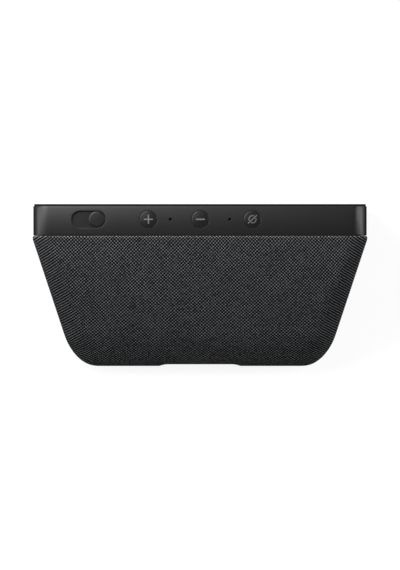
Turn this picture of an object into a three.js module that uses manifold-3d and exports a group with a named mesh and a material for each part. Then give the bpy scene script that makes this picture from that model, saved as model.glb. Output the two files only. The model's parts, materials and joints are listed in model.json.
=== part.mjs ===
// A bedside smart speaker with a display: a leaning face with a bar of buttons and a camera shutter along its
// top, and a fabric-covered wedge behind it that holds the loudspeaker and the ports. Millimetres, +Z up, and the
// face looks along -Y.
import * as THREE from "three";
import { LoftGeometry } from "three/addons/geometries/LoftGeometry.js";
import { mergeVertices } from "three/addons/utils/BufferGeometryUtils.js";
import Module from "manifold-3d";

const wasm = await Module();
wasm.setup();

// ---------------------------------------------------------------- driving dimensions
const SEAT = 0.3; // gap kept where one piece seats on another
const FACE_LEAN = THREE.MathUtils.degToRad(13); // how far the face leans back from upright
const FACE_LIFT = 5.75; // height of the face's lower edge above the table

// Front bezel and glass. In the head frame x runs across, y is the depth behind the face and z runs up the face.
const BODY_WIDTH = 148;
const BODY_PROUD = 0.3; // the fabric stands this far above the bezel, at the sides and the top
const BEZEL_WIDTH = BODY_WIDTH - 2 * BODY_PROUD;
const BEZEL_HEIGHT = 82.4;
const BEZEL_BACK = 13.9; // depth of the bezel's rear edge behind the glass
const BEZEL_CORNER = 6;
const BEZEL_WALL = 2.2;
const BEZEL_FRONT_WALL = 1.5;
const GLASS_INSET = 0.4;
const GLASS_THICK = 0.9;
const ADHESIVE_THICK = 0.3;
const ADHESIVE_GAP = 0.1;
const ADHESIVE_MARGIN = 0.9;
const ADHESIVE_WIDTH = 3;

// Display panel, mid frame and main board, stacked behind the glass.
const PANEL_SIDE = 10.45; // from the bezel's side to the panel
const PANEL_RISE = 5.4; // from the bezel's lower edge to the panel
const PANEL_HEADROOM = 0.5; // from the panel to the shutter's blade
const PANEL_WIDTH = BEZEL_WIDTH - 2 * PANEL_SIDE;
const PANEL_THICK = 2.6;
const PANEL_CLEARANCE = 0.6;
const FRAME_THICK = 1;
const FRAME_CLEARANCE = 1.2;
const FRAME_TOP_GAP = 0.35;
const FRAME_BOSS_RADIUS = 3;
const FRAME_BOSS_EDGE = 3.7; // boss centre to the bezel's inner side wall
const FRAME_SCREW_EDGE = 8.6; // screw centre to the frame's lower edge, and to its upper edge
const FRAME_SCREW_LENGTH = 3.6;
const STANDOFF_LENGTH = 3;
const STANDOFF_RADIUS = 2.6;
const STANDOFF_EDGE = 4; // standoff centre to the board's edges
const BOARD_THICK = 1.2;
const MAIN_BOARD_SIDE = 24.3; // from the frame's side to the board
const MAIN_BOARD_LOW = 17;
const MAIN_BOARD_DROP = 11.35; // from the frame's top to the board's
const SHIELD_SIDE = 8; // from the board's side to a shield
const SHIELD_RISE = 12; // from the board's lower edge to the shields
const SHIELD_DROP = 6; // from the board's top to theirs
const SHIELD_DEPTH = 2.2;
const SHIELD_WALL = 0.4;
const SHIELD_GAP = 4; // between the two shields
const SPREADER_THICK = 0.9;
const SPREADER_MARGIN = 4;

// Screws.
const SCREW_RADIUS = 1;
const SCREW_HEAD_RADIUS = 2;
const SCREW_HEAD_HEIGHT = 1.1;
const SCREW_CLEARANCE = 0.3;
const SCREW_RECESS_RADIUS = 0.8;
const SCREW_RECESS_DEPTH = 0.6;

// Top bar: three buttons, two microphone holes and the camera shutter's slot, all on one line.
const BAR_LINE_FORWARD = 0.2; // how far that line lies in front of the bar's middle
const BUTTON_ROW_CENTRE = -0.2;
const SLOT_TO_BUTTON = 26.5; // slot's centre to the nearest button's
const BUTTON_FRONT_ROOM = 0.5; // from a button's cap to the bar's front wall
const BUTTON_GAP = 0.15;
const BUTTON_PROUD = 0.35;
const BUTTON_FLANGE = 0.3; // how far the flange reaches past the cap
const BUTTON_FLANGE_THICK = 0.8;
const BUTTON_STEM_RADIUS = 1.1;
const BUTTON_STEM_LENGTH = 2.8;
const STEM_ENGAGED = 0.5; // how far the stem reaches into its switch at rest
const SWITCH_SIDE = 4.2;
const SWITCH_HEIGHT = 1.7;
const SWITCH_CLEARANCE = 0.25;
const SWITCH_FLOOR = 0.65;
const BUTTON_BOARD_END = 10.2; // from the nearest button's centre to the end of the board
const BUTTON_BOARD_DEPTH = 7;
const BUTTON_BOARD_THICK = 1;
const MIC_SHARE = 0.57; // microphone hole's distance from the middle, as a share of the buttons' pitch
const MIC_HOLE_RADIUS = 0.55;
const MIC_SIDE = 3;
const MIC_HEIGHT = 1;
const GASKET_RADIUS = 2.1;
const GASKET_BORE_RADIUS = 0.8;

// Camera and its shutter.
const SLOT_FROM_CAMERA = 17.3; // slot's centre to the camera's
const SLOT_LENGTH = 15;
const SLOT_DEPTH = 1; // the slider lies this far below the bar's top
const SLOT_CLEARANCE = 0.25;
const SLIDER_SIDE_GAP = 0.2;
const KNOB_GAP = 0.2; // from the knob to the slot's long edges
const KNOB_PROUD = 0.5;
const SLIDER_THICK = 0.8;
const SLIDER_LIP = 0.35; // the slider reaches this far under the slot's edges
const GUIDE_THICK = 1;
const GUIDE_END = 1;
const CARRIAGE_LENGTH = 8;
const CARRIAGE_DEPTH = 6;
const CARRIAGE_HEIGHT = 2.1;
const CARRIAGE_STEM_RADIUS = 1;
const BLADE_THICK = 0.35;
const BLADE_OVERLAP = 0.4; // the closed blade reaches this far past the camera's window
const CAMERA_EDGE = 4.9; // camera's centre to the bezel's inner side
const CAMERA_HEADROOM = 0.35; // from the camera to the shutter's guide
const CAMERA_SIDE = 5;
const CAMERA_DEPTH = 4.4;
const CAMERA_WINDOW_RADIUS = 1.9;
const BARREL_RADIUS = 2.1;
const BARREL_LENGTH = 0.6;
const BARREL_BORE_RADIUS = 1.5;
const LENS_RADIUS = 1.2;
const LENS_THICK = 0.5;
const SENSOR_EDGE = 3; // light sensor's centre to the button board's end
const SENSOR_SIDE = 2.2;
const SENSOR_DEPTH = 2.4;
const SENSOR_WINDOW_RADIUS = 0.9;
const ANTENNA_THICK = 0.4;
const ANTENNA_RISE = 20;
const ANTENNA_DROP = 17.35; // from the frame's top to the antennas'
const ANTENNA_WIDTH = 5.4;

// Ribbon cables.
const RIBBON_THICK = 0.3;
const DISPLAY_RIBBON_WIDTH = 16;
const DISPLAY_NOTCH = 8; // the mid frame's notch for the ribbon reaches this far up the panel
const RIBBON_BEND = 1;
const BUTTON_RIBBON_WIDTH = 8;

// Rear body. Its outline follows three rails: the sides, the slope behind the bar and the flat underside.
const BODY_LIFT = 2; // underside of the fabric above the table
const BODY_DEPTH = 71.6; // square to the face, from the glass to the nose
const BODY_CORNER_FRONT = 6.3;
const BODY_CORNER_REAR = 13;
const BODY_LOWER_CORNER = 6;
const NOSE_ROUND = 14.6; // depth over which the sides and the slope round into the nose
const UNDER_ROUND = 8.6; // and the underside
const SIDE_STRAIGHT = 1.4; // the sides run straight back this far before they taper
const SIDE_DRAW = 13.73; // half width lost where the nose begins to round
const NOSE_DRAW = 29.8; // half width lost at the end of the nose
const SHOULDER = 44.1; // height of the slope, up the face, where the nose begins to round
const SLOPE_SAG = 4.76; // the slope bulges: how much of its fall comes late
const NOSE_LEVEL = 6.2; // lower edge of the nose's flat end above the table
const NOSE_FLAT = 3.5; // height of that flat end
const ROUND_POWER_SIDE = 2.5;
const ROUND_POWER_TOP = 2.3;
const ROUND_POWER_UNDER = 2.2;
const FABRIC_THICK = 0.8;
const FABRIC_RETURN = 2.3; // width of the hem folded in behind the bezel
const SHELL_WALL = 2;
const TONGUE_THICK = 2;
const TONGUE_GAP = 0.5; // from the shutter's pocket to the tongue that slides into the bezel
const TONGUE_ROOT = 3;
const GRILLE_HOLE_RADIUS = 1.5;
const GRILLE_PITCH = 5.8;
const GRILLE_RINGS = 2;

// Ports, low on the nose. Heights are above the table, and depths are level, from the face's lower edge.
const PORT_HEIGHT = 9.6;
const PORT_WIDTH = 37.2;
const PORT_RISE = 1.6; // from the body's underside to the recess
const PORT_DEPTH = 4.2; // depth of the recess, in from the nose
const CUP_WALL = 0.8;
const CUP_FLOOR = 1.4;
const CUP_SUNK = 0.35; // the cup's rim lies this far under the fabric's face
const CUP_CLEARANCE = 0.25;
const PORT_END = 7.1; // from the recess's end to the nearest socket's centre
const PORT_HOLE_CLEARANCE = 0.3;
const POWER_BORE_RADIUS = 2.1;
const POWER_PIN_RADIUS = 0.6;
const USB_MOUTH_WIDTH = 7.4;
const USB_MOUTH_HEIGHT = 2.6;
const USB_TONGUE_WIDTH = 5;
const USB_TONGUE_HEIGHT = 0.7;
const AUDIO_BORE_RADIUS = 1.75;
const JACK_DEPTH = 12;
const JACK_WIDTH = 8.6;
const JACK_HEIGHT = 5.2;
const BORE_DEPTH = 9;
const PORT_BOARD_END = 0.6; // from the recess's end to the end of the ports' board
const PORT_BOARD_DEPTH = 15;

// Underside.
const PLATE_LIFT = 1; // underside of the base plate above the table
const BASE_FRONT = 18.5;
const BASE_REAR_MARGIN = 12.6; // from the nose to the plate's rear edge
const BASE_FRONT_MARGIN = 13; // from the body's widest side to the plate's front corners
const BASE_REAR_NARROWING = 10;
const BASE_CORNER = 8;
const BASE_CLEARANCE = 0.3;
const PAD_POCKET = 0.8;
const PAD_INSET = 2.2;
const PAD_BAND = 5;
const WELL_RADIUS = 3.4;
const WELL_BORE_RADIUS = 2.4;
const WELL_TOP = 8.6;
const WELL_ROOF = 1.2;
const SHELL_BOSS_WALL = 1.6;
const BOSS_TIP_ROOM = 0.4; // from a base screw's tip to the end of its bore
const BOSS_ROOF = 0.6;
const BASE_SCREW_EDGE = 10;
const BASE_SCREW_LENGTH = 7;

// Loudspeaker. In the speaker frame z points out through the grille and y down the slope.
const DRIVER_FROM_NOSE = 27; // from the nose to where the driver's axis meets the slope
const DRIVER_SUNK = 5; // front of the driver's flange below the fabric
const DRIVER_RADIUS = 21;
const FLANGE_THICK = 1.6;
const FLANGE_WIDTH = 3.2;
const BASKET_RADIUS = 12;
const BASKET_DEPTH = 8;
const BASKET_NECK = 3; // straight part of the basket under the flange
const BASKET_WALL = 0.9;
const MAGNET_RADIUS = 11;
const MAGNET_THICK = 4;
const MAGNET_GAP = 0.9; // from the voice coil out to the magnet
const YOKE_THICK = 1.6;
const POLE_RADIUS = 5.3;
const POLE_DROP = 0.4; // pole's top below the basket's floor
const POLE_GAP = 0.5; // from the pole to the voice coil's former
const FORMER_WALL = 0.3;
const COIL_WALL = 0.6;
const COIL_LENGTH = 3.4;
const FORMER_LENGTH = 5;
const CONE_RADIUS = 14.6;
const CONE_DEPTH = 3.2;
const CONE_WALL = 0.4;
const CONE_SUNK = 1.9; // the cone's rim below the flange's front
const DUST_CAP_RISE = 2;
const SURROUND_ROLL = 1.5;
const SURROUND_WALL = 0.4;
const SPIDER_GAP = 0.15; // from the spider down to the basket
const SPIDER_WAVE = 0.4;
const SPIDER_WALL = 0.35;
const SPIDER_MARGIN = 0.6; // from the spider's rim to the edge of the basket's floor
const GASKET_THICK = 0.7;
const GASKET_WIDTH = 1.6;
const BAFFLE_THICK = 2;
const BAFFLE_HALF_WIDTH = 39;
const BAFFLE_UP = 23;
const BAFFLE_DOWN = 24;
const BAFFLE_CLEARANCE = 0.5;
const BAFFLE_POST_RADIUS = 3;
const BAFFLE_POST_EDGE = 4;
const CHAMBER_WALL = 1.5;
const CHAMBER_GAP = 0.7; // from the heat spreader to the chamber
const CHAMBER_LEVEL = 16; // underside of the chamber above the table

// ---------------------------------------------------------------- materials
const paint = (color, roughness, metalness = 0) =>
  new THREE.MeshStandardMaterial({ color, roughness, metalness });
const SATIN_BLACK = paint(0x2b2b2c, 0.42);
const BUTTON_BLACK = paint(0x262627, 0.5);
const DARK_SHELL = paint(0x1c1d1e, 0.6);
const FABRIC = paint(0x38393b, 0.95);
const GLASS = paint(0x050506, 0.06);
const DISPLAY = paint(0x0b0c0e, 0.3);
const ADHESIVE = paint(0x101010, 0.9);
const STAMPED_METAL = paint(0xa7a9ab, 0.4, 0.9);
const BOARD_GREEN = paint(0x14382a, 0.5);
const TIN = paint(0xc4c5c6, 0.3, 1);
const COPPER = paint(0xb87342, 0.35, 1);
const FERRITE = paint(0x2a2a2c, 0.7);
const RUBBER = paint(0x151516, 0.85);
const CONE_PAPER = paint(0x1a1a1b, 0.8);
const SPIDER_CLOTH = paint(0xb48a3c, 0.9);
const RIBBON = paint(0xd8d2bd, 0.5);
const CONNECTOR_BLACK = paint(0x121213, 0.55);
const GOLD = paint(0xc9a24a, 0.3, 1);

// ---------------------------------------------------------------- solids
const ROUND = 24; // sides of a full round, fewer on small ones
const SMALL_ROUND = 12;
const OVERCUT = 1; // a cutter runs this far past what it cuts

// A closed geometry as a manifold-3d solid.
function solid(geometry) {
  const bare = geometry.index ? geometry.toNonIndexed() : geometry.clone();
  bare.deleteAttribute("normal");
  bare.deleteAttribute("uv");
  const merged = mergeVertices(bare, 1e-4);
  return new wasm.Manifold(
    new wasm.Mesh({
      numProp: 3,
      vertProperties: new Float32Array(merged.attributes.position.array),
      triVerts: new Uint32Array(merged.index.array),
    }),
  );
}

function geometryOf(body) {
  const made = body.getMesh();
  const geometry = new THREE.BufferGeometry();
  geometry.setAttribute("position", new THREE.BufferAttribute(made.vertProperties, 3));
  geometry.setIndex(new THREE.BufferAttribute(made.triVerts, 1));
  geometry.computeVertexNormals();
  return geometry;
}

function addMesh(group, name, body, material) {
  const mesh = new THREE.Mesh(geometryOf(body), material);
  mesh.name = name;
  group.add(mesh);
  return mesh;
}

function box(x0, x1, y0, y1, z0, z1) {
  const geometry = new THREE.BoxGeometry(x1 - x0, y1 - y0, z1 - z0);
  return solid(geometry.translate((x0 + x1) / 2, (y0 + y1) / 2, (z0 + z1) / 2));
}

// Turns an extrusion along z into one along the named axis, keeping the shape's two directions in x, y, z order.
const AXIS_BASIS = {
  x: [new THREE.Vector3(0, 1, 0), new THREE.Vector3(0, 0, 1), new THREE.Vector3(1, 0, 0)],
  y: [new THREE.Vector3(1, 0, 0), new THREE.Vector3(0, 0, 1), new THREE.Vector3(0, -1, 0)],
  z: [new THREE.Vector3(1, 0, 0), new THREE.Vector3(0, 1, 0), new THREE.Vector3(0, 0, 1)],
};

// A shape extruded along an axis from one level to another.
function prism(shape, axis, from, to, curveSegments = 6) {
  const geometry = new THREE.ExtrudeGeometry(shape, { depth: to - from, bevelEnabled: false, curveSegments });
  geometry.applyMatrix4(new THREE.Matrix4().makeBasis(...AXIS_BASIS[axis]));
  if (axis === "x") geometry.translate(from, 0, 0);
  if (axis === "y") geometry.translate(0, to, 0);
  if (axis === "z") geometry.translate(0, 0, from);
  return solid(geometry);
}

// A round bar along an axis. a and b are the centre's two other coordinates, in x, y, z order.
function rod(axis, a, b, radius, from, to, sides = SMALL_ROUND) {
  const circle = new THREE.Shape();
  for (let i = 0; i < sides; i++) {
    const turn = (2 * Math.PI * i) / sides;
    const x = a + radius * Math.cos(turn);
    const y = b + radius * Math.sin(turn);
    if (i === 0) circle.moveTo(x, y);
    else circle.lineTo(x, y);
  }
  return prism(circle, axis, from, to);
}

// A rectangle with round corners, given by its edges.
function roundedRect(x0, x1, y0, y1, radius) {
  const shape = new THREE.Shape();
  shape.moveTo(x0 + radius, y0);
  shape.lineTo(x1 - radius, y0);
  shape.absarc(x1 - radius, y0 + radius, radius, -Math.PI / 2, 0, false);
  shape.lineTo(x1, y1 - radius);
  shape.absarc(x1 - radius, y1 - radius, radius, 0, Math.PI / 2, false);
  shape.lineTo(x0 + radius, y1);
  shape.absarc(x0 + radius, y1 - radius, radius, Math.PI / 2, Math.PI, false);
  shape.lineTo(x0, y0 + radius);
  shape.absarc(x0 + radius, y0 + radius, radius, Math.PI, 1.5 * Math.PI, false);
  return shape;
}

// A slot with round ends, centred on a point.
function stadium(cx, cy, length, width) {
  const radius = width / 2;
  return roundedRect(cx - length / 2, cx + length / 2, cy - radius, cy + radius, radius - 1e-3);
}

// A polygon whose corners are rounded by quadratic curves that start a given distance from each corner.
function roundedPolygon(points, radius) {
  const corners = points.map((p) => new THREE.Vector2(...p));
  const shape = new THREE.Shape();
  corners.forEach((corner, i) => {
    const before = corners[(i + corners.length - 1) % corners.length];
    const after = corners[(i + 1) % corners.length];
    const start = corner.clone().add(before.clone().sub(corner).setLength(radius));
    const end = corner.clone().add(after.clone().sub(corner).setLength(radius));
    if (i === 0) shape.moveTo(start.x, start.y);
    else shape.lineTo(start.x, start.y);
    shape.quadraticCurveTo(corner.x, corner.y, end.x, end.y);
  });
  shape.closePath();
  return shape;
}

const polygon = (points) => new THREE.Shape(points.map((p) => new THREE.Vector2(...p)));

// A profile of [radius, z] points turned about the z axis. It starts and ends on the axis, or closes on itself.
function turned(points, sides = ROUND) {
  const onAxis = points[0][0] === 0;
  const profile = points.map(([r, z]) => new THREE.Vector2(r, z));
  if (THREE.ShapeUtils.area(profile) < 0) profile.reverse();
  if (!onAxis) profile.push(profile[0]);
  return solid(new THREE.LatheGeometry(profile, sides).rotateX(Math.PI / 2));
}

// A flat ribbon of one thickness that follows points of [depth, height], extruded across x.
function ribbon(points, thick, x0, x1) {
  const path = points.map((p) => new THREE.Vector2(...p));
  const sideways = path.map((p, i) => {
    const along = path[Math.min(i + 1, path.length - 1)].clone().sub(path[Math.max(i - 1, 0)]).normalize();
    return new THREE.Vector2(-along.y, along.x).multiplyScalar(thick / 2);
  });
  const left = path.map((p, i) => p.clone().add(sideways[i]));
  const right = path.map((p, i) => p.clone().sub(sideways[i])).reverse();
  return prism(new THREE.Shape([...left, ...right]), "x", x0, x1);
}

// A screw along an axis, from the outer face of its head to its tip.
function screw(axis, a, b, headFace, tip) {
  const inward = Math.sign(tip - headFace);
  const bar = (radius, from, to, sides) =>
    rod(axis, a, b, radius, Math.min(from, to), Math.max(from, to), sides);
  const underHead = headFace + inward * SCREW_HEAD_HEIGHT;
  const recessFloor = headFace + inward * SCREW_RECESS_DEPTH;
  return bar(SCREW_HEAD_RADIUS, headFace, underHead, SMALL_ROUND)
    .add(bar(SCREW_RADIUS, underHead - inward * SEAT, tip, 8))
    .subtract(bar(SCREW_RECESS_RADIUS, headFace - inward * OVERCUT, recessFloor, 6));
}

// ---------------------------------------------------------------- frames
// Level frame: y is the depth from the face's lower edge, z the height above the table.
const stand = new THREE.Group();
const head = new THREE.Group(); // leaning frame of the face
head.position.z = FACE_LIFT;
head.rotation.x = -FACE_LEAN;
stand.add(head);
head.updateMatrix();
const standFromHead = head.matrix;
const headFromStand = head.matrix.clone().invert();
const moved = (body, matrix) => body.transform(matrix.elements);

// ---------------------------------------------------------------- the rear body's surface, in the head frame
const slopeTop = BEZEL_HEIGHT + BODY_PROUD;
const bodyFront = BEZEL_BACK + SEAT;
const shoulderDepth = BODY_DEPTH - NOSE_ROUND;
const underRoundDepth = BODY_DEPTH - UNDER_ROUND;
const slopeRun = shoulderDepth - bodyFront;
const taperFront = bodyFront + SIDE_STRAIGHT;
const sideTaper = SIDE_DRAW / (shoulderDepth - taperFront); // half width lost per millimetre of depth
const noseHalf = BODY_WIDTH / 2 - NOSE_DRAW;
const noseLow = (NOSE_LEVEL - FACE_LIFT + BODY_DEPTH * Math.sin(FACE_LEAN)) / Math.cos(FACE_LEAN);
const noseTop = noseLow + NOSE_FLAT;
const noseReach = BODY_DEPTH * Math.cos(FACE_LEAN) + noseLow * Math.sin(FACE_LEAN); // level depth of the nose

// Eases a rail from its own line onto the nose: 1 before `start`, falling to 0 at `end` along a superellipse.
function noseEase(depth, start, end, power) {
  const share = THREE.MathUtils.clamp((depth - start) / (end - start), 0, 1);
  return Math.pow(1 - Math.pow(share, power), 1 / power);
}

// Height of the sloping back at a depth, before the nose rounds it.
function slopeLine(depth) {
  const share = (depth - bodyFront) / slopeRun;
  return slopeTop - (slopeTop - SHOULDER - SLOPE_SAG) * share - SLOPE_SAG * share * share;
}

function slopeAngle(depth) {
  const share = (depth - bodyFront) / slopeRun;
  return Math.atan((slopeTop - SHOULDER - SLOPE_SAG + 2 * SLOPE_SAG * share) / slopeRun);
}

// The body's section at a depth behind the face, drawn in from the fabric's face by `inset`.
function bodySection(depth, inset) {
  const end = BODY_DEPTH - inset;
  const sideEase = noseEase(depth, shoulderDepth, end, ROUND_POWER_SIDE);
  const topEase = noseEase(depth, shoulderDepth, end, ROUND_POWER_TOP);
  const underEase = noseEase(depth, underRoundDepth, end, ROUND_POWER_UNDER);
  const taper = sideTaper * Math.max(depth - taperFront, 0);
  const sideLine = BODY_WIDTH / 2 - taper - inset / Math.cos(Math.atan(sideTaper));
  const topLine = slopeLine(depth) - inset / Math.cos(slopeAngle(depth));
  const underLine = (BODY_LIFT + inset - FACE_LIFT + depth * Math.sin(FACE_LEAN)) / Math.cos(FACE_LEAN);
  const half = noseHalf + (sideLine - noseHalf) * sideEase;
  const top = noseTop + (topLine - noseTop) * topEase;
  const under = noseLow + (underLine - noseLow) * underEase;
  const growth = THREE.MathUtils.smoothstep(depth, bodyFront, shoulderDepth);
  const corner = THREE.MathUtils.lerp(BODY_CORNER_FRONT, BODY_CORNER_REAR, growth);
  const room = top - under;
  return {
    half,
    top,
    under,
    upperCorner: Math.min(Math.max(corner - inset, 1), 0.55 * room),
    lowerCorner: Math.min(Math.max(BODY_LOWER_CORNER - inset, 1), 0.4 * room),
  };
}

// One ring of points round a section, anticlockwise seen from behind.
function sectionRing(depth, inset) {
  const { half, top, under, upperCorner, lowerCorner } = bodySection(depth, inset);
  const ring = [];
  const arc = (x, z, radius, quarter, steps) => {
    for (let i = 0; i <= steps; i++) {
      const turn = (Math.PI / 2) * (quarter + i / steps);
      ring.push(new THREE.Vector3(x + radius * Math.cos(turn), depth, z + radius * Math.sin(turn)));
    }
  };
  arc(half - upperCorner, top - upperCorner, upperCorner, 0, 5);
  arc(upperCorner - half, top - upperCorner, upperCorner, 1, 5);
  arc(lowerCorner - half, under + lowerCorner, lowerCorner, 2, 3);
  arc(half - lowerCorner, under + lowerCorner, lowerCorner, 3, 3);
  return ring.reverse();
}

// The body as one closed solid, drawn in by `inset` and starting at a depth. Its rings are evenly spaced down the
// slope and close up towards the nose, where the rails turn.
function bodySolid(inset, front) {
  const end = BODY_DEPTH - inset;
  const depths = [0, 0.25, 0.5, 0.75].map((share) => THREE.MathUtils.lerp(front, shoulderDepth, share));
  const roundSteps = 10;
  for (let i = 0; i <= roundSteps; i++) {
    const turn = (0.5 * Math.PI * i) / roundSteps;
    depths.push(shoulderDepth + (end - shoulderDepth) * Math.sin(turn));
  }
  const rings = depths.map((depth) => sectionRing(depth, inset));
  return solid(new LoftGeometry(rings, { capStart: true, capEnd: true }));
}

// ---------------------------------------------------------------- levels shared by several pieces, in the head frame
const innerHalf = BEZEL_WIDTH / 2 - BEZEL_WALL;
const ceiling = BEZEL_HEIGHT - BEZEL_WALL;
const bezelFront = GLASS_THICK + ADHESIVE_GAP;
const bezelInner = bezelFront + BEZEL_FRONT_WALL;
const panelFront = GLASS_THICK + SEAT;
const panelBack = panelFront + PANEL_THICK;
const frameFront = panelBack + SEAT;
const frameBack = frameFront + FRAME_THICK;
const boardFront = frameBack + STANDOFF_LENGTH + SEAT;
const boardBack = boardFront + BOARD_THICK;

// Buttons, from the bar's underside down.
const barLine = BEZEL_BACK / 2 - BAR_LINE_FORWARD;
const buttonRadius = barLine - bezelInner - BUTTON_FRONT_ROOM;
const flangeTop = ceiling - BUTTON_GAP;
const flangeLow = flangeTop - BUTTON_FLANGE_THICK;
const stemLow = flangeLow - BUTTON_STEM_LENGTH;
const switchTop = stemLow + STEM_ENGAGED;
const switchLow = switchTop - SWITCH_HEIGHT;
const buttonBoardTop = switchLow - SEAT;
const buttonBoardLow = buttonBoardTop - BUTTON_BOARD_THICK;
const buttonBoardFront = frameFront;

// Places across the bar.
const cameraX = innerHalf - CAMERA_EDGE;
const slotCentre = cameraX - SLOT_FROM_CAMERA;
const buttonPitch = slotCentre - SLOT_TO_BUTTON - BUTTON_ROW_CENTRE;
const buttonPlaces = {
  volume_up: BUTTON_ROW_CENTRE + buttonPitch,
  volume_down: BUTTON_ROW_CENTRE,
  mic_off: BUTTON_ROW_CENTRE - buttonPitch,
};
const micOffset = MIC_SHARE * buttonPitch;
const buttonBoardHalf = buttonPlaces.volume_up + BUTTON_BOARD_END;
const sensorX = buttonBoardHalf - SENSOR_EDGE;
const sides = { left: 1, right: -1 }; // as seen from behind the device

// Shutter: the slider fills the slot's floor, the guide holds it up, and the carriage below carries the blade.
const slotWidth = 2 * (barLine - bezelInner - SLIDER_LIP - SLIDER_SIDE_GAP);
const knobRadius = slotWidth / 2 - KNOB_GAP;
const knobRest = slotCentre - SLOT_LENGTH / 2 + SLOT_CLEARANCE + knobRadius;
const knobTravel = SLOT_LENGTH - 2 * (knobRadius + SLOT_CLEARANCE);
const slotLow = slotCentre - SLOT_LENGTH / 2;
const slotHigh = slotCentre + SLOT_LENGTH / 2;
const sliderTop = BEZEL_HEIGHT - SLOT_DEPTH;
const sliderLow = sliderTop - SLIDER_THICK;
const sliderHalfDepth = slotWidth / 2 + SLIDER_LIP;
const sliderFrom = slotLow - knobTravel - SLIDER_LIP;
const sliderTo = slotHigh + SLIDER_LIP;
const pocketFrom = sliderFrom - SLOT_CLEARANCE;
const pocketTo = sliderTo + knobTravel + SLOT_CLEARANCE;
const pocketHalfDepth = sliderHalfDepth + SLIDER_SIDE_GAP;
const pocketTop = sliderTop + SLOT_CLEARANCE;
const guideTop = Math.min(sliderLow, ceiling) - SEAT / 2;
const guideLow = guideTop - GUIDE_THICK;
const carriageTop = guideLow - SEAT;
const bladeFront = bezelInner + SEAT;
const bladeBack = bladeFront + BLADE_THICK;
const carriageFront = bladeBack + SEAT;
const cameraZ = guideLow - CAMERA_HEADROOM - CAMERA_SIDE / 2;
const cameraFront = bladeBack + SEAT;
const cameraBodyFront = cameraFront + BARREL_LENGTH;
const cameraTop = cameraZ + CAMERA_SIDE / 2;
const bladeLow = cameraZ - CAMERA_WINDOW_RADIUS - BLADE_OVERLAP;

// What lies below the bar.
const panelTop = bladeLow - PANEL_HEADROOM;
const frameTop = Math.min(buttonBoardLow, cameraZ - CAMERA_SIDE / 2) - FRAME_TOP_GAP;
const frameLow = BEZEL_WALL + FRAME_CLEARANCE;
const frameHalf = innerHalf - FRAME_CLEARANCE;
const mainBoardHalf = frameHalf - MAIN_BOARD_SIDE;
const mainBoardHigh = frameTop - MAIN_BOARD_DROP;
const shieldLow = MAIN_BOARD_LOW + SHIELD_RISE;
const shieldHigh = mainBoardHigh - SHIELD_DROP;
const shieldWidth = mainBoardHalf - SHIELD_SIDE - SHIELD_GAP / 2;
const spreaderFront = boardBack + SHIELD_DEPTH + 2 * SEAT;
const spreaderBack = spreaderFront + SPREADER_THICK;

// ---------------------------------------------------------------- front of the device
const bezelOutline = (inset, corner) =>
  roundedRect(inset - BEZEL_WIDTH / 2, BEZEL_WIDTH / 2 - inset, inset, BEZEL_HEIGHT - inset, corner);

const adhesiveRing = (grow) => {
  const outer = prism(bezelOutline(ADHESIVE_MARGIN - grow, BEZEL_CORNER - ADHESIVE_MARGIN), "y", bezelFront,
    bezelFront + ADHESIVE_THICK + (grow > 0 ? ADHESIVE_GAP : 0));
  const innerEdge = ADHESIVE_MARGIN + ADHESIVE_WIDTH + grow;
  return outer.subtract(prism(bezelOutline(innerEdge, BEZEL_CORNER / 3), "y", 0, BEZEL_BACK));
};

function panelWindow() {
  const half = PANEL_WIDTH / 2 + PANEL_CLEARANCE;
  return box(-half, half, 0, bezelInner + OVERCUT, PANEL_RISE - PANEL_CLEARANCE, panelTop + PANEL_CLEARANCE);
}

const frameBosses = [];
for (const side of [1, -1]) {
  for (const z of [frameLow + FRAME_SCREW_EDGE, frameTop - FRAME_SCREW_EDGE]) {
    frameBosses.push([side * (innerHalf - FRAME_BOSS_EDGE), z]);
  }
}

function makeBezel() {
  let body = prism(bezelOutline(0, BEZEL_CORNER), "y", bezelFront, BEZEL_BACK)
    .subtract(prism(bezelOutline(BEZEL_WALL, BEZEL_CORNER - BEZEL_WALL), "y", bezelInner, BEZEL_BACK + OVERCUT))
    .subtract(panelWindow())
    .subtract(adhesiveRing(ADHESIVE_GAP));
  for (const [x, z] of frameBosses) {
    body = body.add(rod("y", x, z, FRAME_BOSS_RADIUS, bezelInner - SEAT, panelBack));
  }
  for (const [x, z] of frameBosses) {
    body = body.subtract(rod("y", x, z, SCREW_RADIUS + SCREW_CLEARANCE, bezelFront + SEAT, BEZEL_BACK, 8));
  }
  const hole = (x, radius, sides) =>
    rod("z", x, barLine, radius, ceiling - OVERCUT, BEZEL_HEIGHT + OVERCUT, sides);
  for (const x of Object.values(buttonPlaces)) body = body.subtract(hole(x, buttonRadius + BUTTON_GAP, ROUND));
  for (const x of [micOffset, -micOffset]) body = body.subtract(hole(x, MIC_HOLE_RADIUS, 10));
  const slot = prism(stadium(slotCentre, barLine, SLOT_LENGTH, slotWidth), "z", ceiling, BEZEL_HEIGHT + OVERCUT, 10);
  const pocket = box(pocketFrom, pocketTo, barLine - pocketHalfDepth, barLine + pocketHalfDepth,
    ceiling - OVERCUT, pocketTop);
  const cameraPad = box(pocketTo + GUIDE_END + SEAT, cameraX + CAMERA_SIDE / 2, cameraBodyFront,
    cameraBodyFront + CAMERA_DEPTH, cameraTop + SEAT, ceiling + SEAT);
  return body
    .subtract(slot)
    .subtract(pocket)
    .add(cameraPad)
    .subtract(rod("y", cameraX, cameraZ, CAMERA_WINDOW_RADIUS, 0, bezelInner + OVERCUT))
    .subtract(rod("y", sensorX, cameraZ, SENSOR_WINDOW_RADIUS, 0, bezelInner + OVERCUT, 12));
}

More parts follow.
